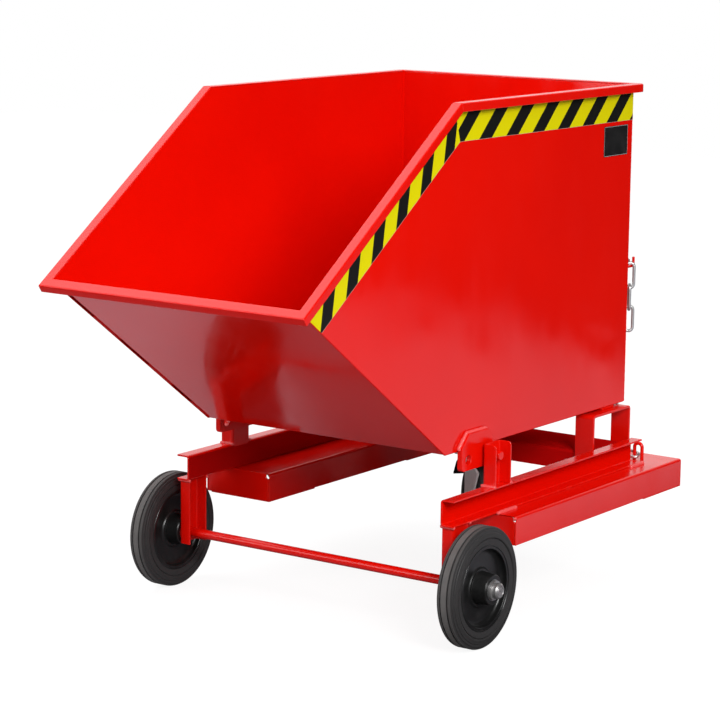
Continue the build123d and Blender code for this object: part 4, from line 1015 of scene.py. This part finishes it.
@dataclass
class Underframe:
    """Rails, posts, legs, pockets, saddles and what is welded to them."""

    frame_x: float = 324.0
    tip_x: float = 355.5
    tip_depth: float = 5.0
    rail_z: float = 245.0
    rail_top_z: float = 300.5
    post_y: Span = (-45.8, 15.2)
    leg_x: float = 353.5
    leg_y: Span = (-193.8, -135.3)
    steel_rounding: float = 0.9
    bar_rounding: float = 0.6
    frame_weld: float = 3.6
    rail_weld_off: float = 0.5
    post_weld_off: float = 0.6
    leg_weld_off: float = 0.4
    pocket_weld: float = 5.0
    pocket_weld_out: float = 3.0
    pocket_weld_rise: float = 1.0
    pocket_stitches: tuple[Span, ...] = ((-36.0, 28.0), (512.0, 562.0))
    pocket_tack: tuple[Point, ...] = ((397.5, -36.5, 239.0), (399.5, -36.5, 241.0))
    axle_at: Point = (0.0, AXLE_Y, AXLE_Z)
    axle_steps: int = 96
    axle: Section = (
        (349.5, 1.5), (349.5, 16.0), (353.5, 16.0), (436.5, 16.0), (436.5, 14.5), (438.5, 14.5),
        (438.5, 16.0), (447.0, 16.0), (450.0, 13.0), (450.0, 10.4), (449.2, 9.9), (449.2, 9.2),
        (450.0, 8.7), (450.0, 1.5),
    )

    def build(self, welds: WeldBeads) -> None:
        """Makes every fixed piece under the box."""
        Dressing.folded(
            Body.FRAME, self.steel_rounding, "pivot_post_left", "pivot_post_right", "wheel_leg_left",
            "wheel_leg_right", "fork_pocket_left", "fork_pocket_right", "pocket_straps", "rear_saddle_left",
            "rear_saddle_right", finish=RED_FRAME,
        )
        # The cross member and the castor mount plate get the darker red of painted shade.
        Dressing.folded(
            Body.FRAME, self.steel_rounding, "cross_member", "castor_mount_plate", finish=RED_PAINTED_SHADE
        )
        self.rails()
        self.axles()
        Dressing.smoothed(
            Body.FRAME, RED, self.bar_rounding, "tie_rod", "pivot_pins", "pivot_spacers", "pivot_collars",
            "chain_staple", "axle_spacers",
        )
        welds.lay("frame_welds", Body.FRAME, self.frame_weld, self.seams(), seed=5)
        welds.lay("pocket_welds", Body.FRAME, self.pocket_weld, self.pocket_seams(), seed=7)

    def rails(self) -> None:
        """Makes the rails, whose webs lie sheltered and have a duller coat, with painted shade on the inner
        faces under the box.
        """
        for side in Side:
            node = f"rail_{side.word}"
            made = Dressing.coat(Shop.copy_of(node), RED_FRAME, RED_RECESS, RED_PAINTED_SHADE, RED_EDGE_WORN_AND_HIGHLIT)
            for face in made.data.polygons:
                out = abs(face.center.x)
                if abs(face.normal.x) > 0.9 and out < (self.tip_x - self.tip_depth) * MM:
                    # Inner web faces get the darker red of painted shade, outer ones the duller coat.
                    face.material_index = 2 if out < (self.frame_x + CLOSE) * MM else 1
            Shop.round_edges(made, self.steel_rounding)
            Dressing.place(made, Body.FRAME, Slot.RED_PAINT, node)

    def axles(self) -> None:
        """Makes the stub axles, painted over where they end in the legs, and what holds the wheels."""
        for side in Side:
            node = f"stub_axle_{side.word}"
            way = Vector((side.value, 0, 0))
            made = Shop.turned(node + "_dressed", self.axle, self.axle_at, way, self.axle_steps)
            Dressing.coat(Shop.smooth(made), AXLE_ZINC, RED)
            for face in made.data.polygons:
                face.material_index = 1 if abs(face.center.x) < self.leg_x * MM else 0
            Dressing.place(made, Body.FRAME, Slot.GALVANISED, node)
        for node in ["axle_washers", "axle_retaining_rings"]:
            made = Dressing.coat(Shop.copy_of(node), AXLE_ZINC)
            Dressing.place(Shop.smooth(made), Body.FRAME, Slot.GALVANISED, node)

    def seams(self) -> list[list[Point]]:
        """Weld lines of posts and legs on the rails, and a tack in the right pocket's corner."""
        seams: list[list[Point]] = []
        top, low = self.rail_top_z + self.rail_weld_off, self.rail_z - self.rail_weld_off
        near, far = self.post_y[0] - self.post_weld_off, self.post_y[1] + self.post_weld_off
        for side in Side:
            tip, web, leg_tip = (side.value * x for x in (self.tip_x, self.frame_x, self.leg_x))
            seams.append([(tip, near, top), (web, near, top)])
            seams.append([(web, far, top), (tip, far, top)])
            for y in [self.leg_y[0] - self.leg_weld_off, self.leg_y[1] + self.leg_weld_off]:
                seams.append([(leg_tip, y, low), (web, y, low)])
        seams.append(list(self.pocket_tack))
        return seams

    def pocket_seams(self) -> list[list[Point]]:
        """Stitches between the rails' lower flanges and the pockets below them."""
        seams = []
        for side in Side:
            x = side.value * (self.tip_x + self.pocket_weld_out)
            for stitch in self.pocket_stitches:
                seams.append([(x, y, self.rail_z + self.pocket_weld_rise) for y in stitch])
        return seams


@dataclass
class FrontWheel:
    """One front wheel: solid tyre, moulded centre and bearing sleeve."""

    side: Side
    centre_x: float = 395.0
    bearing_rounding: float = 0.4
    tyre_steps: int = 160
    disc_steps: int = 128
    tyre: Section = (
        (19.0, 88.0), (19.6, 93.0), (20.4, 98.0), (20.6, 100.2), (18.8, 101.0), (18.8, 102.4),
        (21.4, 103.2), (22.0, 104.6), (22.0, 106.6), (20.6, 108.6), (20.2, 113.0), (18.8, 113.8),
        (18.4, 118.6), (16.8, 119.4), (16.2, 122.4), (15.0, 124.4), (13.4, 125.0), (10.2, 125.0),
        (9.8, 124.4), (9.4, 122.0), (7.0, 122.0), (6.6, 124.4), (6.2, 125.0),
    )
    disc: Section = (
        (38.0, 22.0), (38.0, 29.8), (36.8, 31.0), (9.0, 33.6), (7.4, 34.4), (7.0, 36.0), (7.0, 38.6),
        (5.8, 40.0), (4.4, 41.2), (4.0, 43.0), (4.0, 70.0), (4.6, 74.0), (7.0, 77.4), (10.0, 79.4),
        (14.0, 80.0), (18.2, 80.0), (19.0, 80.8), (19.0, 85.4), (20.2, 86.2), (20.2, 87.4), (19.6, 88.0),
    )

    def build(self) -> None:
        """Makes the wheel's pieces and rides them on the wheel's body."""
        body = Body.WHEEL_RIGHT if self.side is Side.RIGHT else Body.WHEEL_LEFT
        word = self.side.word
        centre = (self.side.value * self.centre_x, AXLE_Y, AXLE_Z)
        way = Vector((1, 0, 0))
        rubber = Rubber(f"tyre_rubber_{word}", Slot.SOLID_RUBBER, centre=centre)
        Dressing.wheel_part(f"wheel_tyre_{word}", body, rubber, self.tyre, centre, way, self.tyre_steps)
        Dressing.wheel_part(f"wheel_rim_{word}", body, CENTRE, self.disc, centre, way, self.disc_steps)
        Dressing.smoothed(body, ZINC, self.bearing_rounding, f"wheel_bearing_{word}")


@dataclass
class Castor:
    """The swivelling castor with its tread brake."""

    turn: float = 47.0
    pivot_y: float = 482.45
    trail: float = 55.0
    radius: float = 100.0
    bearing_rounding: float = 0.4
    fork_rounding: float = 0.6
    plate_rounding: float = 0.5
    brake_rounding: float = 0.7
    steps: int = 120
    tyre: Section = ((24.0, 72.0), (24.0, 90.4), (23.4, 92.8), (17.4, 99.0), (15.0, 100.0))
    disc: Section = (
        (27.5, 12.0), (27.5, 18.2), (26.8, 19.0), (11.6, 20.8), (11.0, 21.4), (11.0, 22.4), (10.4, 23.0),
        (5.0, 23.6), (4.0, 25.0), (4.0, 60.0), (5.2, 63.6), (8.0, 65.0), (20.2, 65.0), (21.0, 65.8),
        (21.0, 72.0),
    )

    def build(self) -> None:
        """Makes the castor's pieces."""
        angle = math.radians(self.turn)
        way = Vector((math.cos(angle), math.sin(angle), 0.0))
        centre = (-math.sin(angle) * self.trail, self.pivot_y + math.cos(angle) * self.trail, self.radius)
        rubber = Rubber(
            "castor_tyre_rubber", Slot.SOLID_RUBBER, centre=centre, turn=self.turn, tread_radius=self.radius
        )
        wheel = Body.CASTOR_WHEEL
        Dressing.wheel_part("castor_tyre", wheel, rubber, self.tyre, centre, way, self.steps)
        Dressing.wheel_part("castor_rim", wheel, CENTRE, self.disc, centre, way, self.steps)
        Dressing.smoothed(wheel, ZINC, self.bearing_rounding, "castor_bearing")
        # The fork's parts get the lightened zinc: painted light in the shade under the box.
        Dressing.smoothed(
            Body.CASTOR, FORK_ZINC_LIGHTENED, self.fork_rounding, "castor_fork", "castor_lower_race",
            "castor_axle_bolt", "castor_axle_nut", "brake_pin",
        )
        Dressing.kept(ZINC, "castor_balls")
        Dressing.smoothed(
            Body.FRAME, ZINC, self.plate_rounding, "castor_top_plate", "castor_upper_race",
            "castor_king_bolt", "castor_king_nut", "castor_bolts", "castor_nuts",
        )
        Dressing.smoothed(Body.BRAKE, BRAKE_COAT, self.brake_rounding, "brake_pedal", "brake_shoe")


@dataclass
class SafetyChain:
    """The chain's two lengths: one hung on the box's hook, one that stays in the staple."""

    wire: float = 7.0
    pitch: float = 49.0
    width: float = 25.0
    slack: float = 0.6
    bend_share: float = 0.4999
    bend_steps: int = 10
    wire_steps: int = 16
    hang: Point = (300.0, 584.7, 661.5)
    turn: float = 35.0
    lean: float = 22.0
    shoulder: float = 45.0
    shoulder_lift: float = 2.2
    tail_links: int = 3
    long_links: int = 6
    anchor_end: Point = (326.5, 598.7, 252.95)
    anchor_rise: float = 9.2
    anchor_roll: float = 26.0

    def build(self) -> None:
        """Makes both lengths."""
        recipe = self.recipe()
        values = {
            "Link Width": (self.width - self.wire) * MM,
            "Link Length": (self.pitch + self.wire) * MM,
            "Wire Radius": self.wire / 2 * MM,
            "Material": BRIGHT_ZINC.material(),
        }
        lengths = {
            "safety_chain": (Body.HUNG_CHAIN, self.hung()),
            "anchor_chain": (Body.ANCHOR_LINKS, self.anchored()),
        }
        for name, (body, links) in lengths.items():
            made = recipe.run(self.points(name, links), values)
            Dressing.place(made, body, Slot.GALVANISED, name)

    def recipe(self) -> Recipe:
        """The tree that puts a bent-wire link on each point, turned as the point says."""
        sizes = dict.fromkeys(("Link Width", "Link Length", "Wire Radius"), "NodeSocketFloat")
        recipe = Recipe("chain_links", {**sizes, "Material": "NodeSocketMaterial"})
        start = recipe.start
        outline = recipe.result(
            "GeometryNodeCurvePrimitiveQuadrilateral", {},
            {"Width": start["Link Width"], "Height": start["Link Length"]},
        )
        bend = recipe.result(
            "ShaderNodeMath", {"operation": "MULTIPLY"}, {0: start["Link Width"], 1: self.bend_share}
        )
        bent = recipe.result(
            "GeometryNodeFilletCurve", {"mode": "POLY"},
            {"Curve": outline, "Radius": bend, "Count": self.bend_steps},
        )
        wire = recipe.result(
            "GeometryNodeCurvePrimitiveCircle", {},
            {"Resolution": self.wire_steps, "Radius": start["Wire Radius"]},
        )
        link = recipe.result("GeometryNodeCurveToMesh", {}, {"Curve": bent, "Profile Curve": wire})
        turn = recipe.result(
            "GeometryNodeInputNamedAttribute", {"data_type": "FLOAT_VECTOR"}, {"Name": "turn"}
        )
        turned = recipe.result("FunctionNodeEulerToRotation", {}, {0: turn})
        placed = recipe.result(
            "GeometryNodeInstanceOnPoints", {},
            {"Points": start["Geometry"], "Instance": link, "Rotation": turned},
        )
        recipe.end(placed)
        return recipe

    @staticmethod
    def points(name: str, links: Sequence[tuple[Point, Euler]]) -> bpy.types.Object:
        """Mesh of one point for each link, with the link's turn as an attribute."""
        mesh = bpy.data.meshes.new(name)
        mesh.from_pydata([Vector(at) * MM for at, _ in links], [], [])
        turns = mesh.attributes.new("turn", "FLOAT_VECTOR", "POINT")
        for i, (_, turn) in enumerate(links):
            turns.data[i].vector = turn
        return Shop.object_of(mesh, name + "_dressed")

    @staticmethod
    def upright(turn: float) -> Euler:
        """Turn of a link that hangs upright, its flat side at an angle in degrees."""
        return Euler((math.pi / 2, 0.0, math.radians(turn)))

    @staticmethod
    def set_by(across: Vector, normal: Vector) -> Euler:
        """Turn of a link whose width lies along one direction and whose flat side faces another."""
        columns = Matrix((across, normal.cross(across), normal)).transposed()
        return columns.to_euler()

    def hung(self) -> list[tuple[Point, Euler]]:
        """Links on the hook: a short tail, one link that leans off its shoulder and the long run."""
        bend = (self.width - self.wire) / 2
        end = (self.pitch + self.wire) / 2
        over = self.wire + self.slack
        step = self.pitch - self.slack
        x, y, z = self.hang
        links = [((x, y, z - k * step), self.upright(self.turn + 90 * k)) for k in range(self.tail_links)]
        out = bend * math.sin(math.radians(self.shoulder))
        up = bend * math.cos(math.radians(self.shoulder)) + self.shoulder_lift
        turn, lean = math.radians(self.turn), math.radians(self.lean)
        top = Vector((x - out * math.cos(turn), y - out * math.sin(turn), z + end - bend + up + over))
        slope = Vector((math.sin(lean), 0.0, math.cos(lean)))
        leaning = self.set_by(Vector((0, 1, 0)), Vector((math.cos(lean), 0.0, -math.sin(lean))))
        links.append((tuple(top - slope * end), leaning))
        foot = top - slope * 2 * end
        first = foot.z + over - end
        run = [((foot.x, foot.y, first - k * step), self.upright(90 * k)) for k in range(self.long_links)]
        return links + run

    def anchored(self) -> list[tuple[Point, Euler]]:
        """Links in the staple: one that lies in its eye and one that stands in the first."""
        end = (self.pitch + self.wire) / 2
        rise = math.radians(self.anchor_rise)
        start = Vector(self.anchor_end)
        slope = Vector((-math.cos(rise), 0.0, math.sin(rise)))
        roll = math.radians(self.anchor_roll)
        level = Vector((0.0, 1.0, 0.0))
        lift = Vector((math.sin(rise), 0.0, math.cos(rise)))
        lying = self.set_by(
            level * math.cos(roll) + lift * math.sin(roll), lift * math.cos(roll) - level * math.sin(roll)
        )
        standing = self.set_by(
            Vector((0.0, -math.sin(roll), math.cos(roll))), Vector((0.0, math.cos(roll), math.sin(roll)))
        )
        far = start + slope * 2 * end
        return [
            (tuple(start + slope * end), lying),
            ((far.x + self.wire + self.slack - end, far.y, far.z), standing),
        ]


@dataclass(frozen=True)
class Lamp:
    """A square soft lamp that faces a point, in metres and watts."""

    name: str
    place: Point
    aim: Point
    size: float
    power: float

    def hang(self) -> None:
        """Puts the lamp into the scene."""
        data = bpy.data.lights.new(self.name, "AREA")
        data.size = self.size
        data.energy = self.power
        made = bpy.data.objects.new(self.name, data)
        bpy.context.scene.collection.objects.link(made)
        made.location = self.place
        made.rotation_euler = (Vector(self.aim) - Vector(self.place)).to_track_quat("-Z", "Y").to_euler()


@dataclass
class Studio:
    """White floor, soft lamps and the camera at the photograph's angle.

    What mirrored rays see has its own values: two screens in the world, and on the floor a painted pool of
    light with a cloudy edge, painted shadows in it and a cool tint, so that the paint shows painted
    reflections.
    """

    azimuth: float = 35.32
    elevation: float = 10.28
    roll: float = 0.66
    distance: float = 5.412
    target: Point = (-0.0017, -0.0230, 0.5216)
    lens: float = 128.3
    sensor: float = 36.0
    clip: Span = (0.05, 100.0)
    lamps: tuple[Lamp, ...] = (
        Lamp("lamp_over", place=(-2.55, 0.0, 5.94), aim=(0.0, 0.0, 0.5), size=5.1, power=165.0),
        Lamp("lamp_key", place=(3.7, -2.5, 2.75), aim=(0.0, 0.0, 0.5), size=1.6, power=183.0),
        Lamp("lamp_fill", place=(-2.2, -3.4, 1.5), aim=(0.0, 0.0, 0.4), size=1.6, power=28.0),
    )
    screen_levels: Span = (0.02, 0.95)
    screen_facing: Span = (0.45, 0.85)
    screen_foot: Span = (-0.05, 0.03)
    sky_levels: Span = (0.04, 0.86)
    sky_rise: Span = (0.0, 0.8)
    floor_half: float = 9.0
    floor_tone: float = 0.34
    floor_grain: float = 0.04
    floor_glow: float = 1.5
    glow_share: float = 0.6
    mirror_gain: float = 0.46
    mirror_loss: float = 0.33
    mirror_cool: float = 0.12
    # Painted pool of light and painted shadows that mirrored rays see on the floor, in metres.
    painted_light_y: Span = (-0.9, -0.3)
    shadow_patch_y: Span = (-0.06, -0.02)
    shadow_patch_left: Span = (-0.645, -0.60)
    shadow_patch_right: Span = (-0.44, -0.40)
    shadow_behind_y: Span = (0.2, 0.5)
    shadow_behind_x: Span = (0.6, 0.9)
    shadow_under_y: Span = (0.1, 0.3)
    shadow_under_left: Span = (-0.9, -0.2)
    shadow_under_right: Span = (0.1, 0.4)
    shadow_under_levels: Span = (0.45, 0.5)
    wall_x: float = 0.306
    edge_height: float = 0.69
    edge_fall: float = 0.3
    edge_clouds: float = 1.0
    edge_scale: float = 5.5
    edge_soft: float = 0.05

    def build(self) -> None:
        """Makes the camera, the world, the floor and the lamps."""
        bpy.context.scene.view_settings.view_transform = "Standard"
        self.camera()
        self.world()
        self.floor()
        for lamp in self.lamps:
            lamp.hang()

    def camera(self) -> None:
        """Sets the camera where the photograph was taken from."""
        turn, tilt = math.radians(self.azimuth), math.radians(self.elevation)
        back = Vector((math.sin(turn) * math.cos(tilt), -math.cos(turn) * math.cos(tilt), math.sin(tilt)))
        right = Vector((math.cos(turn), math.sin(turn), 0.0))
        up = back.cross(right)
        roll = math.radians(self.roll)
        across = right * math.cos(roll) + up * math.sin(roll)
        rise = up * math.cos(roll) - right * math.sin(roll)
        data = bpy.data.cameras.new("camera")
        data.lens = self.lens
        data.sensor_width = self.sensor
        data.clip_start, data.clip_end = self.clip
        made = bpy.data.objects.new("camera", data)
        bpy.context.scene.collection.objects.link(made)
        made.matrix_world = Matrix.LocRotScale(
            Vector(self.target) + back * self.distance, Matrix((across, rise, back)).transposed(), None
        )
        bpy.context.scene.camera = made

    @staticmethod
    def rays(graph: Graph) -> tuple[Signal, Signal]:
        """Which rays see the white backdrop: the camera's or those through glass, and mirrored ones."""
        path = graph.node("ShaderNodeLightPath").outputs
        camera, through = Signal(graph, path["Is Camera Ray"]), Signal(graph, path["Is Transmission Ray"])
        return graph.math("MAXIMUM", camera, through), Signal(graph, path["Is Glossy Ray"])

    def world(self) -> None:
        """White for the camera, white screens before and behind for reflections, soft light for the rest."""
        graph = Graph(bpy.data.worlds.new("studio"))
        straight, mirrored = self.rays(graph)
        way = graph.signal("ShaderNodeTexCoord", output="Generated")
        height = graph.along(way, (0.0, 0.0, 1.0))
        turn = math.radians(self.azimuth)
        facing = abs(graph.along(way, (math.sin(turn), -math.cos(turn), 0.0)))
        dark, pale = self.screen_levels
        screens = dark + pale * facing.fade(*self.screen_facing) * height.fade(*self.screen_foot)
        low, gain = self.sky_levels
        soft = low + gain * height.fade(*self.sky_rise)
        rest = mirrored * screens + (1.0 - mirrored) * soft
        strength = straight + (1.0 - straight) * rest
        light = graph.result(
            "ShaderNodeBackground", {}, {"Color": (1.0, 1.0, 1.0, 1.0), "Strength": strength}
        )
        graph.node("ShaderNodeOutputWorld", {}, {"Surface": light})
        bpy.context.scene.world = graph.owner

    def floor(self) -> None:
        """Pale floor that shows white to the camera and keeps a soft shadow."""
        half = self.floor_half
        corners = [(-half, -half, 0), (half, -half, 0), (half, half, 0), (-half, half, 0)]
        mesh = bpy.data.meshes.new("floor")
        mesh.from_pydata(corners, [], [(0, 1, 2, 3)])
        made = Shop.object_of(mesh, "floor")
        graph = Graph(bpy.data.materials.new("pale_floor"))
        straight, mirrored = self.rays(graph)
        where = graph.place()
        grain = graph.noise(where, scale=3.0) * self.floor_grain
        # Mirrored rays see a painted pool of light with painted shadows and a cool tint on the floor, so the
        # paint shows painted reflections.
        level = self.floor_tone + grain + mirrored * self.mirrored_tone(graph, where)
        cool = level * (1.0 + mirrored * self.mirror_cool)
        tone = graph.result("ShaderNodeCombineColor", {}, {0: level, 1: level, 2: cool})
        paint = graph.result("ShaderNodeBsdfDiffuse", {}, {"Color": tone})
        glow = graph.result("ShaderNodeEmission", {}, {"Strength": self.floor_glow})
        mixed = graph.result("ShaderNodeMixShader", {}, {0: straight * self.glow_share, 1: paint, 2: glow})
        graph.node("ShaderNodeOutputMaterial", {}, {"Surface": mixed})
        mesh.materials.append(graph.owner)

    def mirrored_tone(self, graph: Graph, where: Signal) -> Signal:
        """What the floor's tone gains or loses for mirrored rays: a painted pool of light and painted
        shadows.

        Args:
            graph: The floor's material.
            where: Place on the floor.

        Returns:
            A gain in the painted pool of light, and a loss outside it and in the painted shadows in it.
        """
        along = graph.along(where, (0.0, 1.0, 0.0))
        aside = graph.along(where, (1.0, 0.0, 0.0))
        pale = along.fade(*self.painted_light_y) * (1.0 - self.mirrored_edge(graph, along, aside))
        patch = aside.fade(*self.shadow_patch_left) * (1.0 - aside.fade(*self.shadow_patch_right))
        patch = along.fade(*self.shadow_patch_y) * patch
        behind = along.fade(*self.shadow_behind_y) * (1.0 - aside.fade(*self.shadow_behind_x))
        left, right = self.shadow_under_levels
        under = left * aside.fade(*self.shadow_under_left) + right * aside.fade(*self.shadow_under_right)
        under = under * (1.0 - along.fade(*self.shadow_under_y))
        shade = graph.math("MAXIMUM", graph.math("MAXIMUM", patch, behind), under)
        return pale * (1.0 - shade) * self.mirror_gain - self.mirror_loss

    def mirrored_edge(self, graph: Graph, along: Signal, aside: Signal) -> Signal:
        """Cloudy edge of the floor's painted pool of light, drawn as the box's right wall mirrors it towards
        the camera as a painted reflection.

        Args:
            graph: The floor's material.
            along: Place on the floor along Y.
            aside: Place on the floor along X.

        Returns:
            1 where the wall shows no floor above the edge, and 0 below it.
        """
        turn, tilt = math.radians(self.azimuth), math.radians(self.elevation)
        reach = aside - self.wall_x
        rise = reach * (math.tan(tilt) / math.sin(turn))
        run = along - reach * (1.0 / math.tan(turn))
        on_wall = graph.signal("ShaderNodeCombineXYZ", {}, {0: run, 1: rise})
        clouds = graph.noise(on_wall, scale=self.edge_scale, detail=3.0) - 0.5
        ragged = rise + self.edge_fall * run + self.edge_clouds * clouds
        return ragged.fade(self.edge_height - self.edge_soft, self.edge_height + self.edge_soft)


def main() -> None:
    """Builds the studio and the trolley's sub-assemblies in order."""
    logging.basicConfig(level=logging.INFO, format="%(name)s: %(message)s")
    Studio().build()
    welds = WeldBeads()
    TippingBox().build(welds)
    Underframe().build(welds)
    for side in Side:
        FrontWheel(side).build()
    Castor().build()
    SafetyChain().build()


if __name__ == "__main__":
    main()
